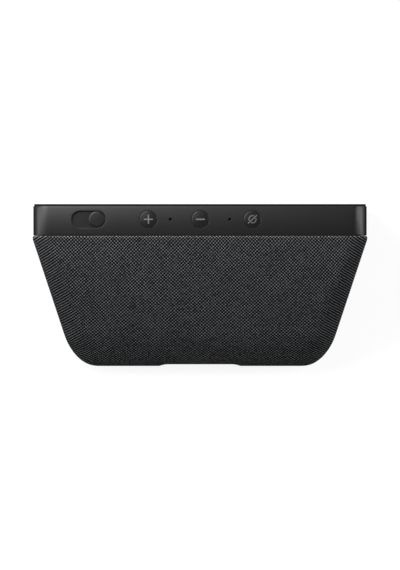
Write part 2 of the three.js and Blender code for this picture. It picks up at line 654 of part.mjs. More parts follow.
function makeMidFrame() {
  let body = prism(roundedRect(-frameHalf, frameHalf, frameLow, frameTop, BEZEL_CORNER - BEZEL_WALL), "y",
    frameFront, frameBack);
  for (const [x, z] of standoffs) {
    body = body.add(rod("y", x, z, STANDOFF_RADIUS, frameFront + SEAT, frameBack + STANDOFF_LENGTH));
  }
  for (const [x, z] of frameBosses) {
    body = body.subtract(rod("y", x, z, SCREW_RADIUS + SCREW_CLEARANCE, 0, BEZEL_BACK, 8));
  }
  const notchHalf = DISPLAY_RIBBON_WIDTH / 2 + OVERCUT;
  return body.subtract(box(-notchHalf, notchHalf, 0, BEZEL_BACK, 0, PANEL_RISE + DISPLAY_NOTCH));
}

const standoffs = [];
for (const side of [1, -1]) {
  for (const z of [MAIN_BOARD_LOW + STANDOFF_EDGE, mainBoardHigh - STANDOFF_EDGE]) {
    standoffs.push([side * (mainBoardHalf - STANDOFF_EDGE), z]);
  }
}

function shieldCan(centre) {
  const [x0, x1] = [centre - shieldWidth / 2, centre + shieldWidth / 2];
  const front = boardBack + SEAT;
  const can = box(x0, x1, front, front + SHIELD_DEPTH, shieldLow, shieldHigh);
  const hollow = box(x0 + SHIELD_WALL, x1 - SHIELD_WALL, front - OVERCUT, front + SHIELD_DEPTH - SHIELD_WALL,
    shieldLow + SHIELD_WALL, shieldHigh - SHIELD_WALL);
  return can.subtract(hollow);
}

function addFront() {
  addMesh(head, "front_bezel", makeBezel(), SATIN_BLACK);
  const pane = prism(bezelOutline(GLASS_INSET, BEZEL_CORNER - GLASS_INSET), "y", 0, GLASS_THICK);
  addMesh(head, "cover_glass", pane, GLASS);
  addMesh(head, "glass_adhesive", adhesiveRing(0), ADHESIVE);
  const panel = box(-PANEL_WIDTH / 2, PANEL_WIDTH / 2, panelFront, panelBack, PANEL_RISE, panelTop);
  addMesh(head, "display_panel", panel, DISPLAY);
  addMesh(head, "mid_frame", makeMidFrame(), STAMPED_METAL);
  const headFace = frameBack + SEAT + SCREW_HEAD_HEIGHT;
  const tip = headFace - SCREW_HEAD_HEIGHT - FRAME_SCREW_LENGTH;
  frameBosses.forEach(([x, z], i) => addMesh(head, `frame_screw_${i + 1}`, screw("y", x, z, headFace, tip), TIN));
  const board = box(-mainBoardHalf, mainBoardHalf, boardFront, boardBack, MAIN_BOARD_LOW, mainBoardHigh);
  addMesh(head, "main_board", board, BOARD_GREEN);
  const shieldCentre = (shieldWidth + SHIELD_GAP) / 2;
  addMesh(head, "processor_shield", shieldCan(-shieldCentre), TIN);
  addMesh(head, "wireless_shield", shieldCan(shieldCentre), TIN);
  const spreaderHalf = shieldWidth / 2 - SPREADER_MARGIN;
  const spreader = box(-shieldCentre - spreaderHalf, -shieldCentre + spreaderHalf, spreaderFront, spreaderBack,
    shieldLow + SPREADER_MARGIN, shieldHigh - SPREADER_MARGIN);
  addMesh(head, "heat_spreader", spreader, COPPER);
}

// The camera stands behind the bezel's window, the light sensor on the button board.
function addCamera() {
  const half = CAMERA_SIDE / 2;
  const body = box(cameraX - half, cameraX + half, cameraBodyFront, cameraBodyFront + CAMERA_DEPTH,
    cameraZ - half, cameraTop)
    .add(rod("y", cameraX, cameraZ, BARREL_RADIUS, cameraFront, cameraBodyFront + SEAT))
    .subtract(rod("y", cameraX, cameraZ, BARREL_BORE_RADIUS, cameraFront - OVERCUT, cameraBodyFront + LENS_THICK));
  addMesh(head, "camera_module", body, CONNECTOR_BLACK);
  const lensBack = cameraBodyFront + LENS_THICK - SEAT;
  addMesh(head, "camera_lens", rod("y", cameraX, cameraZ, LENS_RADIUS, lensBack - LENS_THICK, lensBack), GLASS);
  const sensor = box(sensorX - SENSOR_SIDE / 2, sensorX + SENSOR_SIDE / 2, buttonBoardFront - OVERCUT,
    buttonBoardFront - OVERCUT + SENSOR_DEPTH, buttonBoardTop + SEAT, buttonBoardTop + SEAT + SENSOR_SIDE);
  addMesh(head, "light_sensor", sensor, CONNECTOR_BLACK);
}

// ---------------------------------------------------------------- top bar
function makeButton(x) {
  return rod("z", x, barLine, buttonRadius, flangeTop - SEAT, BEZEL_HEIGHT + BUTTON_PROUD, ROUND)
    .add(rod("z", x, barLine, buttonRadius + BUTTON_FLANGE, flangeLow, flangeTop, ROUND))
    .add(rod("z", x, barLine, BUTTON_STEM_RADIUS, stemLow, flangeLow + SEAT));
}

function makeSwitch(x) {
  const half = SWITCH_SIDE / 2;
  const stemBore = BUTTON_STEM_RADIUS + SWITCH_CLEARANCE;
  return box(x - half, x + half, barLine - half, barLine + half, switchLow, switchTop)
    .subtract(rod("z", x, barLine, stemBore, switchLow + SWITCH_FLOOR, switchTop + OVERCUT));
}

function addBar() {
  for (const [name, x] of Object.entries(buttonPlaces)) {
    addMesh(head, `${name}_button`, makeButton(x), BUTTON_BLACK);
    addMesh(head, `${name}_switch`, makeSwitch(x), CONNECTOR_BLACK);
  }
  const board = box(-buttonBoardHalf, buttonBoardHalf, buttonBoardFront,
    buttonBoardFront + BUTTON_BOARD_DEPTH, buttonBoardLow, buttonBoardTop);
  addMesh(head, "button_board", board, BOARD_GREEN);
  for (const [name, side] of Object.entries(sides)) {
    const x = side * micOffset;
    const half = MIC_SIDE / 2;
    const micLow = buttonBoardTop + SEAT;
    const micTop = micLow + MIC_HEIGHT;
    const mic = box(x - half, x + half, barLine - half, barLine + half, micLow, micTop);
    addMesh(head, `microphone_${name}`, mic, TIN);
    const gasket = rod("z", x, barLine, GASKET_RADIUS, micTop + SEAT, ceiling - SEAT)
      .subtract(rod("z", x, barLine, GASKET_BORE_RADIUS, micTop, ceiling, 10));
    addMesh(head, `microphone_gasket_${name}`, gasket, RUBBER);
  }
}

function addShutter() {
  const knob = rod("z", knobRest, barLine, knobRadius, sliderLow + SEAT, BEZEL_HEIGHT + KNOB_PROUD, ROUND);
  const slider = box(sliderFrom, sliderTo, barLine - sliderHalfDepth, barLine + sliderHalfDepth,
    sliderLow, sliderTop);
  addMesh(head, "shutter_slider", slider.add(knob), BUTTON_BLACK);
  const stemRoom = 2 * (CARRIAGE_STEM_RADIUS + SEAT);
  const guide = box(pocketFrom - GUIDE_END, pocketTo + GUIDE_END, barLine - pocketHalfDepth + SEAT,
    barLine + pocketHalfDepth, guideLow, guideTop);
  const guideSlot = prism(stadium(knobRest + knobTravel / 2, barLine, knobTravel + stemRoom, stemRoom), "z",
    guideLow - OVERCUT, guideTop + OVERCUT, 4);
  addMesh(head, "shutter_guide", guide.subtract(guideSlot), DARK_SHELL);
  const left = knobRest - CARRIAGE_LENGTH / 2;
  const carriage = box(left, left + CARRIAGE_LENGTH, carriageFront, carriageFront + CARRIAGE_DEPTH,
    carriageTop - CARRIAGE_HEIGHT, carriageTop)
    .add(rod("z", knobRest, barLine, CARRIAGE_STEM_RADIUS, carriageTop - SEAT, sliderLow - SEAT));
  addMesh(head, "shutter_carriage", carriage, DARK_SHELL);
  const bladeEnd = cameraX + CAMERA_WINDOW_RADIUS + BLADE_OVERLAP - knobTravel;
  addMesh(head, "shutter_blade", box(left, bladeEnd, bladeFront, bladeBack, bladeLow, carriageTop), RUBBER);
}

function addCables() {
  const frontOfBoard = boardFront - 0.6 * RIBBON_THICK - SEAT;
  const behindPanel = panelBack + SEAT + RIBBON_THICK / 2;
  const displayPath = [
    [behindPanel, PANEL_RISE + DISPLAY_NOTCH - OVERCUT],
    [behindPanel, PANEL_RISE + 2.4 * RIBBON_BEND],
    [behindPanel + RIBBON_BEND, PANEL_RISE + RIBBON_BEND],
    [frameBack + RIBBON_BEND, PANEL_RISE + 1.4 * RIBBON_BEND],
    [frontOfBoard - 0.8 * RIBBON_BEND, PANEL_RISE + 4 * RIBBON_BEND],
    [frontOfBoard, MAIN_BOARD_LOW - RIBBON_BEND],
    [frontOfBoard, MAIN_BOARD_LOW + 5 * RIBBON_BEND],
  ];
  const displayCable = ribbon(displayPath, RIBBON_THICK, -DISPLAY_RIBBON_WIDTH / 2, DISPLAY_RIBBON_WIDTH / 2);
  addMesh(head, "display_cable", displayCable, RIBBON);
  const behindBoard = boardBack + SEAT + 0.6 * RIBBON_THICK;
  const underButtons = buttonBoardLow - SEAT;
  const buttonPath = [
    [behindBoard - RIBBON_BEND, underButtons],
    [behindBoard - RIBBON_BEND, underButtons - RIBBON_BEND],
    [behindBoard + 0.3 * RIBBON_BEND, underButtons - 4 * RIBBON_BEND],
    [behindBoard, mainBoardHigh - RIBBON_BEND],
    [behindBoard, shieldHigh + 1.5 * RIBBON_BEND],
  ];
  const ribbonLeft = buttonPlaces.volume_up - BUTTON_RIBBON_WIDTH / 2;
  const buttonCable = ribbon(buttonPath, RIBBON_THICK, ribbonLeft, ribbonLeft + BUTTON_RIBBON_WIDTH);
  addMesh(head, "button_cable", buttonCable, RIBBON);
  for (const [name, side] of Object.entries(sides)) {
    const outer = side * (innerHalf - SEAT);
    const inner = outer - side * ANTENNA_THICK;
    const antenna = box(Math.min(outer, inner), Math.max(outer, inner), frameBack + SEAT,
      frameBack + SEAT + ANTENNA_WIDTH, ANTENNA_RISE, frameTop - ANTENNA_DROP);
    addMesh(head, `antenna_${name}`, antenna, GOLD);
  }
}

// ---------------------------------------------------------------- rear shell, fabric and base
const plateTop = BODY_LIFT + FABRIC_THICK;
const shellUnder = BODY_LIFT + FABRIC_THICK + SEAT;
const shellFront = bodyFront + FABRIC_THICK + SEAT;
const portLevel = BODY_LIFT + PORT_RISE + PORT_HEIGHT / 2;
const portFloor = noseReach - PORT_DEPTH;
const baseRear = noseReach - BASE_REAR_MARGIN;
const baseFrontHalf = BODY_WIDTH / 2 - BASE_FRONT_MARGIN;
const baseRearHalf = baseFrontHalf - BASE_REAR_NARROWING;

// Outline of the base plate in the level frame, drawn in by `inset`.
const baseOutline = (inset) =>
  roundedPolygon(
    [
      [inset - baseFrontHalf, BASE_FRONT + inset],
      [baseFrontHalf - inset, BASE_FRONT + inset],
      [baseRearHalf - inset, baseRear - inset],
      [inset - baseRearHalf, baseRear - inset],
    ],
    BASE_CORNER,
  );

const baseScrews = [];
for (const side of [1, -1]) {
  for (const y of [BASE_FRONT + BASE_SCREW_EDGE, baseRear - BASE_SCREW_EDGE]) {
    baseScrews.push([side * (baseRearHalf - BASE_SCREW_EDGE), y]);
  }
}

const baseScrewHead = WELL_TOP - WELL_ROOF - SEAT - SCREW_HEAD_HEIGHT;
const baseScrewTip = baseScrewHead + BASE_SCREW_LENGTH;
const bossBoreEnd = baseScrewTip + BOSS_TIP_ROOM;

const portRecess = (grow, from) =>
  prism(stadium(0, portLevel, PORT_WIDTH + 2 * grow, PORT_HEIGHT + 2 * grow), "y", from, 2 * BODY_DEPTH, 6);

// The speaker's frame, turned so that z points out of the slope.
const speaker = new THREE.Group();
const driverDepth = BODY_DEPTH - DRIVER_FROM_NOSE;
const speakerTilt = slopeAngle(driverDepth);
speaker.position.set(0, driverDepth, slopeLine(driverDepth));
speaker.rotation.x = -speakerTilt;
head.add(speaker);
speaker.updateMatrix();
const headFromSpeaker = speaker.matrix;

const driverFront = -DRIVER_SUNK;
const flangeBack = driverFront - FLANGE_THICK;
const baffleFront = flangeBack - GASKET_THICK - 2 * SEAT;
const baffleBack = baffleFront - BAFFLE_THICK;

function grilleHoles() {
  const holes = [];
  for (let row = -GRILLE_RINGS; row <= GRILLE_RINGS; row++) {
    const count = 2 * GRILLE_RINGS + 1 - Math.abs(row);
    for (let i = 0; i < count; i++) {
      const x = (i - (count - 1) / 2) * GRILLE_PITCH;
      const y = (row * GRILLE_PITCH * Math.sqrt(3)) / 2;
      holes.push(rod("z", x, y, GRILLE_HOLE_RADIUS, driverFront, OVERCUT, 6));
    }
  }
  return wasm.Manifold.compose(holes);
}

function bafflePosts() {
  const posts = [];
  for (const x of [BAFFLE_HALF_WIDTH - BAFFLE_POST_EDGE, BAFFLE_POST_EDGE - BAFFLE_HALF_WIDTH]) {
    for (const y of [BAFFLE_POST_EDGE - BAFFLE_UP, BAFFLE_DOWN - BAFFLE_POST_EDGE]) {
      posts.push(rod("z", x, y, BAFFLE_POST_RADIUS, baffleFront + SEAT, 0, 12));
    }
  }
  return wasm.Manifold.compose(posts);
}

function makeShell() {
  const outer = bodySolid(FABRIC_THICK + SEAT, shellFront);
  const hollow = bodySolid(FABRIC_THICK + SEAT + SHELL_WALL, shellFront - SEAT);
  const tongueOuter = BEZEL_WALL + SEAT;
  const tongueInner = tongueOuter + TONGUE_THICK;
  const tongueFront = barLine + pocketHalfDepth + TONGUE_GAP;
  const tongueBack = shellFront + TONGUE_ROOT;
  const tongue = prism(bezelOutline(tongueOuter, BEZEL_CORNER - BEZEL_WALL), "y", tongueFront, tongueBack)
    .subtract(prism(bezelOutline(tongueInner, BEZEL_CORNER / 3), "y", 0, tongueBack + OVERCUT));
  const reach = box(-BODY_WIDTH, BODY_WIDTH, 0, shellFront, -BODY_WIDTH, BODY_WIDTH);
  const posts = moved(bafflePosts(), headFromSpeaker).intersect(outer);
  let body = outer
    .subtract(hollow)
    .add(tongue.intersect(outer.add(reach)))
    .add(posts);
  const bossRadius = WELL_RADIUS + SEAT + SHELL_BOSS_WALL;
  for (const [x, y] of baseScrews) {
    const boss = rod("z", x, y, bossRadius, shellUnder + SEAT, bossBoreEnd + BOSS_ROOF)
      .subtract(rod("z", x, y, WELL_RADIUS + SEAT, 0, WELL_TOP + SEAT))
      .subtract(rod("z", x, y, SCREW_RADIUS + SCREW_CLEARANCE, 0, bossBoreEnd, 8));
    body = body
      .subtract(moved(rod("z", x, y, WELL_RADIUS + SEAT, 0, WELL_TOP), headFromStand))
      .add(moved(boss, headFromStand));
  }
  return body
    .subtract(moved(grilleHoles(), headFromSpeaker))
    .subtract(moved(portRecess(0, portFloor - CUP_FLOOR - OVERCUT), headFromStand));
}

function makeFabric() {
  const outer = bodySolid(0, bodyFront);
  const hollow = bodySolid(FABRIC_THICK, bodyFront + FABRIC_THICK);
  const mouth = prism(bezelOutline(BEZEL_WALL / 2 + FABRIC_RETURN / 2, BEZEL_CORNER - BEZEL_WALL), "y", 0,
    bodyFront + FABRIC_THICK + OVERCUT);
  const plateCut = prism(baseOutline(-BASE_CLEARANCE), "z", 0, shellUnder);
  return outer
    .subtract(hollow)
    .subtract(mouth)
    .subtract(moved(plateCut, headFromStand))
    .subtract(moved(portRecess(0, portFloor - CUP_FLOOR - OVERCUT), headFromStand));
}

function addRear() {
  addMesh(head, "rear_shell", makeShell(), DARK_SHELL);
  addMesh(head, "fabric_cover", makeFabric(), FABRIC);
}

function padRing(grow, top) {
  const outer = prism(baseOutline(PAD_INSET - grow), "z", 0, top);
  return outer.subtract(prism(baseOutline(PAD_INSET + PAD_BAND + grow), "z", -OVERCUT, top + OVERCUT));
}

function addBase() {
  let plate = prism(baseOutline(0), "z", PLATE_LIFT, plateTop);
  for (const [x, y] of baseScrews) plate = plate.add(rod("z", x, y, WELL_RADIUS, plateTop - SEAT, WELL_TOP));
  for (const [x, y] of baseScrews) {
    plate = plate
      .subtract(rod("z", x, y, WELL_BORE_RADIUS, 0, WELL_TOP - WELL_ROOF))
      .subtract(rod("z", x, y, SCREW_RADIUS + SCREW_CLEARANCE, 0, WELL_TOP + OVERCUT, 8));
  }
  addMesh(stand, "base_plate", plate.subtract(padRing(SEAT, PLATE_LIFT + PAD_POCKET)), DARK_SHELL);
  addMesh(stand, "foot_pad", padRing(0, PLATE_LIFT + PAD_POCKET - SEAT), RUBBER);
  baseScrews.forEach(([x, y], i) => {
    addMesh(stand, `base_screw_${i + 1}`, screw("z", x, y, baseScrewHead, baseScrewTip), TIN);
  });
}

// ---------------------------------------------------------------- ports
const jackFront = portFloor - CUP_FLOOR - SEAT;
const jackBlock = (x) =>
  box(x - JACK_WIDTH / 2, x + JACK_WIDTH / 2, jackFront - JACK_DEPTH, jackFront,
    portLevel - JACK_HEIGHT / 2, portLevel + JACK_HEIGHT / 2);
const jackBore = (x, radius) => rod("y", x, portLevel, radius, jackFront - BORE_DEPTH, jackFront + OVERCUT);

function addPorts() {
  const powerX = PORT_WIDTH / 2 - PORT_END;
  const audioX = -powerX;
  const holeReach = [portFloor - CUP_FLOOR - OVERCUT, portFloor + OVERCUT];
  const mouthHalf = (grow) => USB_MOUTH_WIDTH / 2 + grow;
  const usbHole = (grow, from, to) =>
    box(-mouthHalf(grow), mouthHalf(grow), from, to,
      portLevel - USB_MOUTH_HEIGHT / 2 - grow, portLevel + USB_MOUTH_HEIGHT / 2 + grow);
  const cup = portRecess(-CUP_CLEARANCE, portFloor - CUP_FLOOR)
    .intersect(moved(bodySolid(CUP_SUNK, bodyFront), standFromHead))
    .subtract(portRecess(-CUP_CLEARANCE - CUP_WALL, portFloor))
    .subtract(rod("y", powerX, portLevel, POWER_BORE_RADIUS + PORT_HOLE_CLEARANCE, ...holeReach))
    .subtract(rod("y", audioX, portLevel, AUDIO_BORE_RADIUS + PORT_HOLE_CLEARANCE, ...holeReach))
    .subtract(usbHole(PORT_HOLE_CLEARANCE, ...holeReach));
  addMesh(stand, "port_cup", cup, CONNECTOR_BLACK);
  const pin = rod("y", powerX, portLevel, POWER_PIN_RADIUS, jackFront - BORE_DEPTH - SEAT, jackFront - SEAT, 10);
  const powerJack = jackBlock(powerX).subtract(jackBore(powerX, POWER_BORE_RADIUS)).add(pin);
  addMesh(stand, "power_jack", powerJack, CONNECTOR_BLACK);
  const tongueHalf = USB_TONGUE_WIDTH / 2;
  const tongue = box(-tongueHalf, tongueHalf, jackFront - BORE_DEPTH - SEAT, jackFront - SEAT,
    portLevel - USB_TONGUE_HEIGHT / 2, portLevel + USB_TONGUE_HEIGHT / 2);
  const usb = jackBlock(0).subtract(usbHole(0, jackFront - BORE_DEPTH, jackFront + OVERCUT)).add(tongue);
  addMesh(stand, "usb_port", usb, TIN);
  const audioJack = jackBlock(audioX).subtract(jackBore(audioX, AUDIO_BORE_RADIUS));
  addMesh(stand, "audio_jack", audioJack, CONNECTOR_BLACK);
  const boardLow = portLevel + JACK_HEIGHT / 2 + SEAT;
  const boardHalf = PORT_WIDTH / 2 - PORT_BOARD_END;
  const board = box(-boardHalf, boardHalf, jackFront - PORT_BOARD_DEPTH, jackFront,
    boardLow, boardLow + BOARD_THICK);
  addMesh(stand, "port_board", board, BOARD_GREEN);
}

// ---------------------------------------------------------------- loudspeaker
const basketInner = DRIVER_RADIUS - FLANGE_WIDTH;
const basketFloor = driverFront - BASKET_DEPTH;
const baffleHole = basketInner + BASKET_WALL + BAFFLE_CLEARANCE;
const formerInner = POLE_RADIUS + POLE_GAP;
const formerOuter = formerInner + FORMER_WALL;
const magnetBore = formerOuter + COIL_WALL + MAGNET_GAP;
const spiderLevel = basketFloor + BASKET_WALL + SPIDER_GAP + SPIDER_WALL + SPIDER_WAVE;

// Where the chamber's walls run, as [depth, height] in the head frame, drawn in by `inset`. `open` lengthens the
// two walls that meet the baffle, so that the inner outline cuts right through.
function chamberOutline(inset, open) {
  const rim = baffleBack - SEAT + open;
  const top = new THREE.Vector3(0, -BAFFLE_UP + inset, rim).applyMatrix4(headFromSpeaker);
  const low = new THREE.Vector3(0, BAFFLE_DOWN - inset, rim).applyMatrix4(headFromSpeaker);
  const front = spreaderBack + CHAMBER_GAP + inset;
  const floorAt = (depth) =>
    (CHAMBER_LEVEL + inset - FACE_LIFT + depth * Math.sin(FACE_LEAN)) / Math.cos(FACE_LEAN);
  const floorEnd = low.y - (low.z - floorAt(low.y)) * Math.sin(speakerTilt) * 0.5;
  return polygon([
    [top.y, top.z],
    [front, top.z - (top.y - front)],
    [front, floorAt(front)],
    [floorEnd, floorAt(floorEnd)],
    [low.y, low.z],
  ]);
}

function addSpeaker() {
  const half = BAFFLE_HALF_WIDTH;
  const chamber = prism(chamberOutline(0, 0), "x", -half, half)
    .subtract(prism(chamberOutline(CHAMBER_WALL, OVERCUT), "x", CHAMBER_WALL - half, half - CHAMBER_WALL));
  addMesh(head, "speaker_chamber", chamber, DARK_SHELL);
  const baffle = box(-half, half, -BAFFLE_UP, BAFFLE_DOWN, baffleBack, baffleFront)
    .subtract(rod("z", 0, 0, baffleHole, baffleBack - OVERCUT, baffleFront + OVERCUT, ROUND));
  addMesh(speaker, "speaker_baffle", baffle, DARK_SHELL);
  const gasketTop = flangeBack - SEAT;
  addMesh(speaker, "driver_gasket", turned([
    [baffleHole, gasketTop],
    [baffleHole + GASKET_WIDTH, gasketTop],
    [baffleHole + GASKET_WIDTH, gasketTop - GASKET_THICK],
    [baffleHole, gasketTop - GASKET_THICK],
  ]), RUBBER);

  const basketOuter = basketInner + BASKET_WALL;
  const neck = driverFront - BASKET_NECK;
  addMesh(speaker, "driver_basket", turned([
    [DRIVER_RADIUS, driverFront],
    [DRIVER_RADIUS, flangeBack],
    [basketOuter, flangeBack],
    [basketOuter, neck],
    [BASKET_RADIUS, basketFloor],
    [magnetBore, basketFloor],
    [magnetBore, basketFloor + BASKET_WALL],
    [BASKET_RADIUS - BASKET_WALL, basketFloor + BASKET_WALL],
    [basketInner, neck],
    [basketInner, driverFront],
  ]), STAMPED_METAL);

  const magnetTop = basketFloor - SEAT;
  const magnetLow = magnetTop - MAGNET_THICK;
  addMesh(speaker, "driver_magnet", turned([
    [magnetBore, magnetTop],
    [MAGNET_RADIUS, magnetTop],
    [MAGNET_RADIUS, magnetLow],
    [magnetBore, magnetLow],
  ]), FERRITE);
  const yokeTop = magnetLow - SEAT;
  addMesh(speaker, "driver_yoke", turned([
    [0, yokeTop - YOKE_THICK],
    [MAGNET_RADIUS, yokeTop - YOKE_THICK],
    [MAGNET_RADIUS, yokeTop],
    [POLE_RADIUS, yokeTop],
    [POLE_RADIUS, basketFloor - POLE_DROP],
    [0, basketFloor - POLE_DROP],
  ]), STAMPED_METAL);

  const coneTop = driverFront - CONE_SUNK;
  const coneLow = coneTop - CONE_DEPTH;
  addMesh(speaker, "driver_cone", turned([
    [0, coneLow + DUST_CAP_RISE - CONE_WALL],
    [formerOuter * 0.6, coneLow + DUST_CAP_RISE * 0.7 - CONE_WALL],
    [formerOuter, coneLow - CONE_WALL],
    [CONE_RADIUS, coneTop - CONE_WALL],
    [CONE_RADIUS, coneTop],
    [formerOuter, coneLow],
    [formerOuter * 0.6, coneLow + DUST_CAP_RISE * 0.7],
    [0, coneLow + DUST_CAP_RISE],
  ]), CONE_PAPER);
  const formerTop = coneLow - CONE_WALL - SEAT;
  const formerLow = formerTop - FORMER_LENGTH;
  addMesh(speaker, "voice_coil", turned([
    [formerInner, formerTop],
    [formerOuter, formerTop],
    [formerOuter, formerLow + COIL_LENGTH],
    [formerOuter + COIL_WALL, formerLow + COIL_LENGTH],
    [formerOuter + COIL_WALL, formerLow],
    [formerInner, formerLow],
  ]), COPPER);

  const roll = bentStrip(CONE_RADIUS + SEAT, basketInner - SEAT, coneTop, SURROUND_WALL,
    (share) => SURROUND_ROLL * Math.sin(Math.PI * share), 5);
  addMesh(speaker, "driver_surround", turned(roll), RUBBER);
  const waves = bentStrip(formerOuter + SEAT, BASKET_RADIUS - SPIDER_MARGIN, spiderLevel, SPIDER_WALL,
    (share) => SPIDER_WAVE * Math.sin(4 * Math.PI * share), 8);
  addMesh(speaker, "driver_spider", turned(waves), SPIDER_CLOTH);
}

// Profile of a thin ring whose height above `level` follows a function of the share of its width.
function bentStrip(inner, outer, level, thick, rise, steps) {
  const upper = [];
  const lower = [];
  for (let i = 0; i <= steps; i++) {
    const share = i / steps;
    const radius = THREE.MathUtils.lerp(inner, outer, share);
    upper.push([radius, level + rise(share)]);
    lower.unshift([radius, level + rise(share) - thick]);
  }
  return [...upper, ...lower];
}

addFront();
addCamera();
addBar();
addShutter();
addCables();
addRear();
addBase();
addPorts();
addSpeaker();

// The origin is centred under the part's bounding box.
const part = new THREE.Group();
part.add(stand);
const bounds = new THREE.Box3().setFromObject(part, true);
stand.position.y = -(bounds.min.y + bounds.max.y) / 2;

export default part;
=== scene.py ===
# %% [markdown]
# # A smart speaker with a leaning display
#
# The object is a small bedside speaker. A glass face leans back, a black plastic bar along its top carries
# three buttons and a camera shutter, and a wedge behind it is dressed in woven cloth over a loudspeaker.
# The solids of every piece are made first, in CAD, and this script loads them as a fixed frame. It then
# makes the surfaces that the eye meets: the bezel, the glass, the keys, the cloth and their finishes. The
# scene is in metres.

# %% Load the frame
import json
import math

import bpy
import numpy as np
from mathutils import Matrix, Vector


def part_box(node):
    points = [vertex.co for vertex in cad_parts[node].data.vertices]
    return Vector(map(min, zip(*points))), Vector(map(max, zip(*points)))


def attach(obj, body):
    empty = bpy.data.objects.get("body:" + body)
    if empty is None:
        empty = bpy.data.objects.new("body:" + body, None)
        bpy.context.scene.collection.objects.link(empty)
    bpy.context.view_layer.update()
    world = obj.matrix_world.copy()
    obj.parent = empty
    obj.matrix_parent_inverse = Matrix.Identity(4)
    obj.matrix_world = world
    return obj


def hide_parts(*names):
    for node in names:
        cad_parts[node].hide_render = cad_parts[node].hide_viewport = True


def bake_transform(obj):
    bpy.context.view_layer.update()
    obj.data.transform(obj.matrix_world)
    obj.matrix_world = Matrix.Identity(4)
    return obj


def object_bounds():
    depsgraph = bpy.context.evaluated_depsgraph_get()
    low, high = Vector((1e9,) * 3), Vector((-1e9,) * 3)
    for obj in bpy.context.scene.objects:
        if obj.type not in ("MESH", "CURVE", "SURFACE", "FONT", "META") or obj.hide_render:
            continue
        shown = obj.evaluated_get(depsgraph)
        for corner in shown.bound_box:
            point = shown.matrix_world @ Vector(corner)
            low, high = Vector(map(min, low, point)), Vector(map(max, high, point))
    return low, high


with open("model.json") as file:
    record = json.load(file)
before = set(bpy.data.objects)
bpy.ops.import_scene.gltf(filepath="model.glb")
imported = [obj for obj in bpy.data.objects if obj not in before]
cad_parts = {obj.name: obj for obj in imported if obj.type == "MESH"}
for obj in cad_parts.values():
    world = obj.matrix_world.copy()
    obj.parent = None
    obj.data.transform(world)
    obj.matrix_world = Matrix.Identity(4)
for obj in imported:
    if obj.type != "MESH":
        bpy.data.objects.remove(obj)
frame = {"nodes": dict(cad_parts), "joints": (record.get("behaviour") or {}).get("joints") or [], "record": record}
cad_box = [list(corner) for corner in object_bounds()]

# %% [markdown]
# ## The face's own axes
#
# Nothing on this object is square to the table except its base. The face leans back, and the bar, the keys
# and the body's sections all follow the face. It's easiest to think in three directions: x across, depth
# straight back from the glass, and height up the face. The buttons travel down the face, so their joint's
# axis gives the lean, and the bezel and the glass give the point where depth and height are zero. Lengths
# are written in millimetres, and are turned into metres only when they go into a mesh.

# %% Axes and origin of the face
MM = 0.001


def joint_named(name):
    """One joint of the frame, with its axis and its range in metres."""
    return next(joint for joint in frame["joints"] if joint["name"] == name)


def unit(vector):
    """The same direction with a length of 1."""
    return np.array(vector, float) / np.linalg.norm(vector)


FACE_ACROSS = np.array([1.0, 0.0, 0.0])
FACE_UP = -unit(joint_named("volume_up_press")["axis"])
FACE_IN = np.array([0.0, FACE_UP[2], -FACE_UP[1]])
LEAN = math.atan2(FACE_UP[1], FACE_UP[2])


# %% Measuring the CAD nodes
def read_array(items, name, width=1, kind=np.float32):
    """One property of all of a mesh's vertices or faces. A width above 1 gives each its own row."""
    flat = np.empty(len(items) * width, kind)
    items.foreach_get(name, flat)
    return flat.reshape(-1, width) if width > 1 else flat


def corners_of(node):
    """All the vertices of a CAD node, one row each, in millimetres."""
    return read_array(frame["nodes"][node].data.vertices, "co", 3).astype(float) / MM


def extent(node, direction):
    """How far a CAD node reaches along a direction: its lowest and highest value, in millimetres."""
    along = corners_of(node) @ direction
    return along.min(), along.max()


face_low = extent("front_bezel", FACE_UP)[0]
face_front = extent("cover_glass", FACE_IN)[0]
FACE_ORIGIN = face_low * FACE_UP + face_front * FACE_IN


def on_face(x, depth, height):
    """Points given across, behind and up the face, as world coordinates in millimetres."""
    x, depth, height = (part[..., None] for part in np.broadcast_arrays(x, depth, height))
    return FACE_ORIGIN + x * FACE_ACROSS + depth * FACE_IN + height * FACE_UP


def from_face(points):
    """The other way round: how far points given as world coordinates lie across, behind and up the face."""
    local = points - FACE_ORIGIN
    return local @ FACE_ACROSS, local @ FACE_IN, local @ FACE_UP


def face_box(node):
    """Where a CAD node lies in the face's axes: its low and high (across, depth, height)."""
    parts = np.stack(from_face(corners_of(node)), axis=1)
    return parts.min(0), parts.max(0)


print(f"the face leans back {math.degrees(LEAN):.1f} degrees from a point {FACE_ORIGIN.round(2)} mm")

# %% [markdown]
# ## From arrays to meshes
#
# Every new piece below is a sheet of points with rows and columns, worked out by numpy all at once, and the
# last column meets the first. That makes it a tube, and a tube whose two ends are capped is a closed solid.
# One helper joins neighbouring points into four-sided faces, and another hands the arrays to Blender.

# %% Tubes of points and the faces between them
def tube_faces(rows, columns):
    """Faces of a tube of rows x columns points: point (i, j) joins (i, j+1), (i+1, j+1) and (i+1, j)."""
    index = np.arange(rows * columns).reshape(rows, columns)
    index = np.concatenate([index, index[:, :1]], axis=1)
    corners = [index[:-1, :-1], index[:-1, 1:], index[1:, 1:], index[1:, :-1]]
    return np.stack(corners, axis=-1).reshape(-1, 4)


def new_object(name, points, faces, caps=()):
    """A piece from points in millimetres, four-sided faces, and caps with any number of corners.

    The object stays at the origin, unturned and unscaled, so the mesh alone says where the piece is.
    """
    mesh = bpy.data.meshes.new(name)
    every = [*faces.tolist(), *[list(map(int, cap)) for cap in caps]]
    mesh.from_pydata((np.asarray(points).reshape(-1, 3) * MM).tolist(), [], every)
    mesh.validate()
    made = bpy.data.objects.new(name, mesh)
    bpy.context.scene.collection.objects.link(made)
    return made


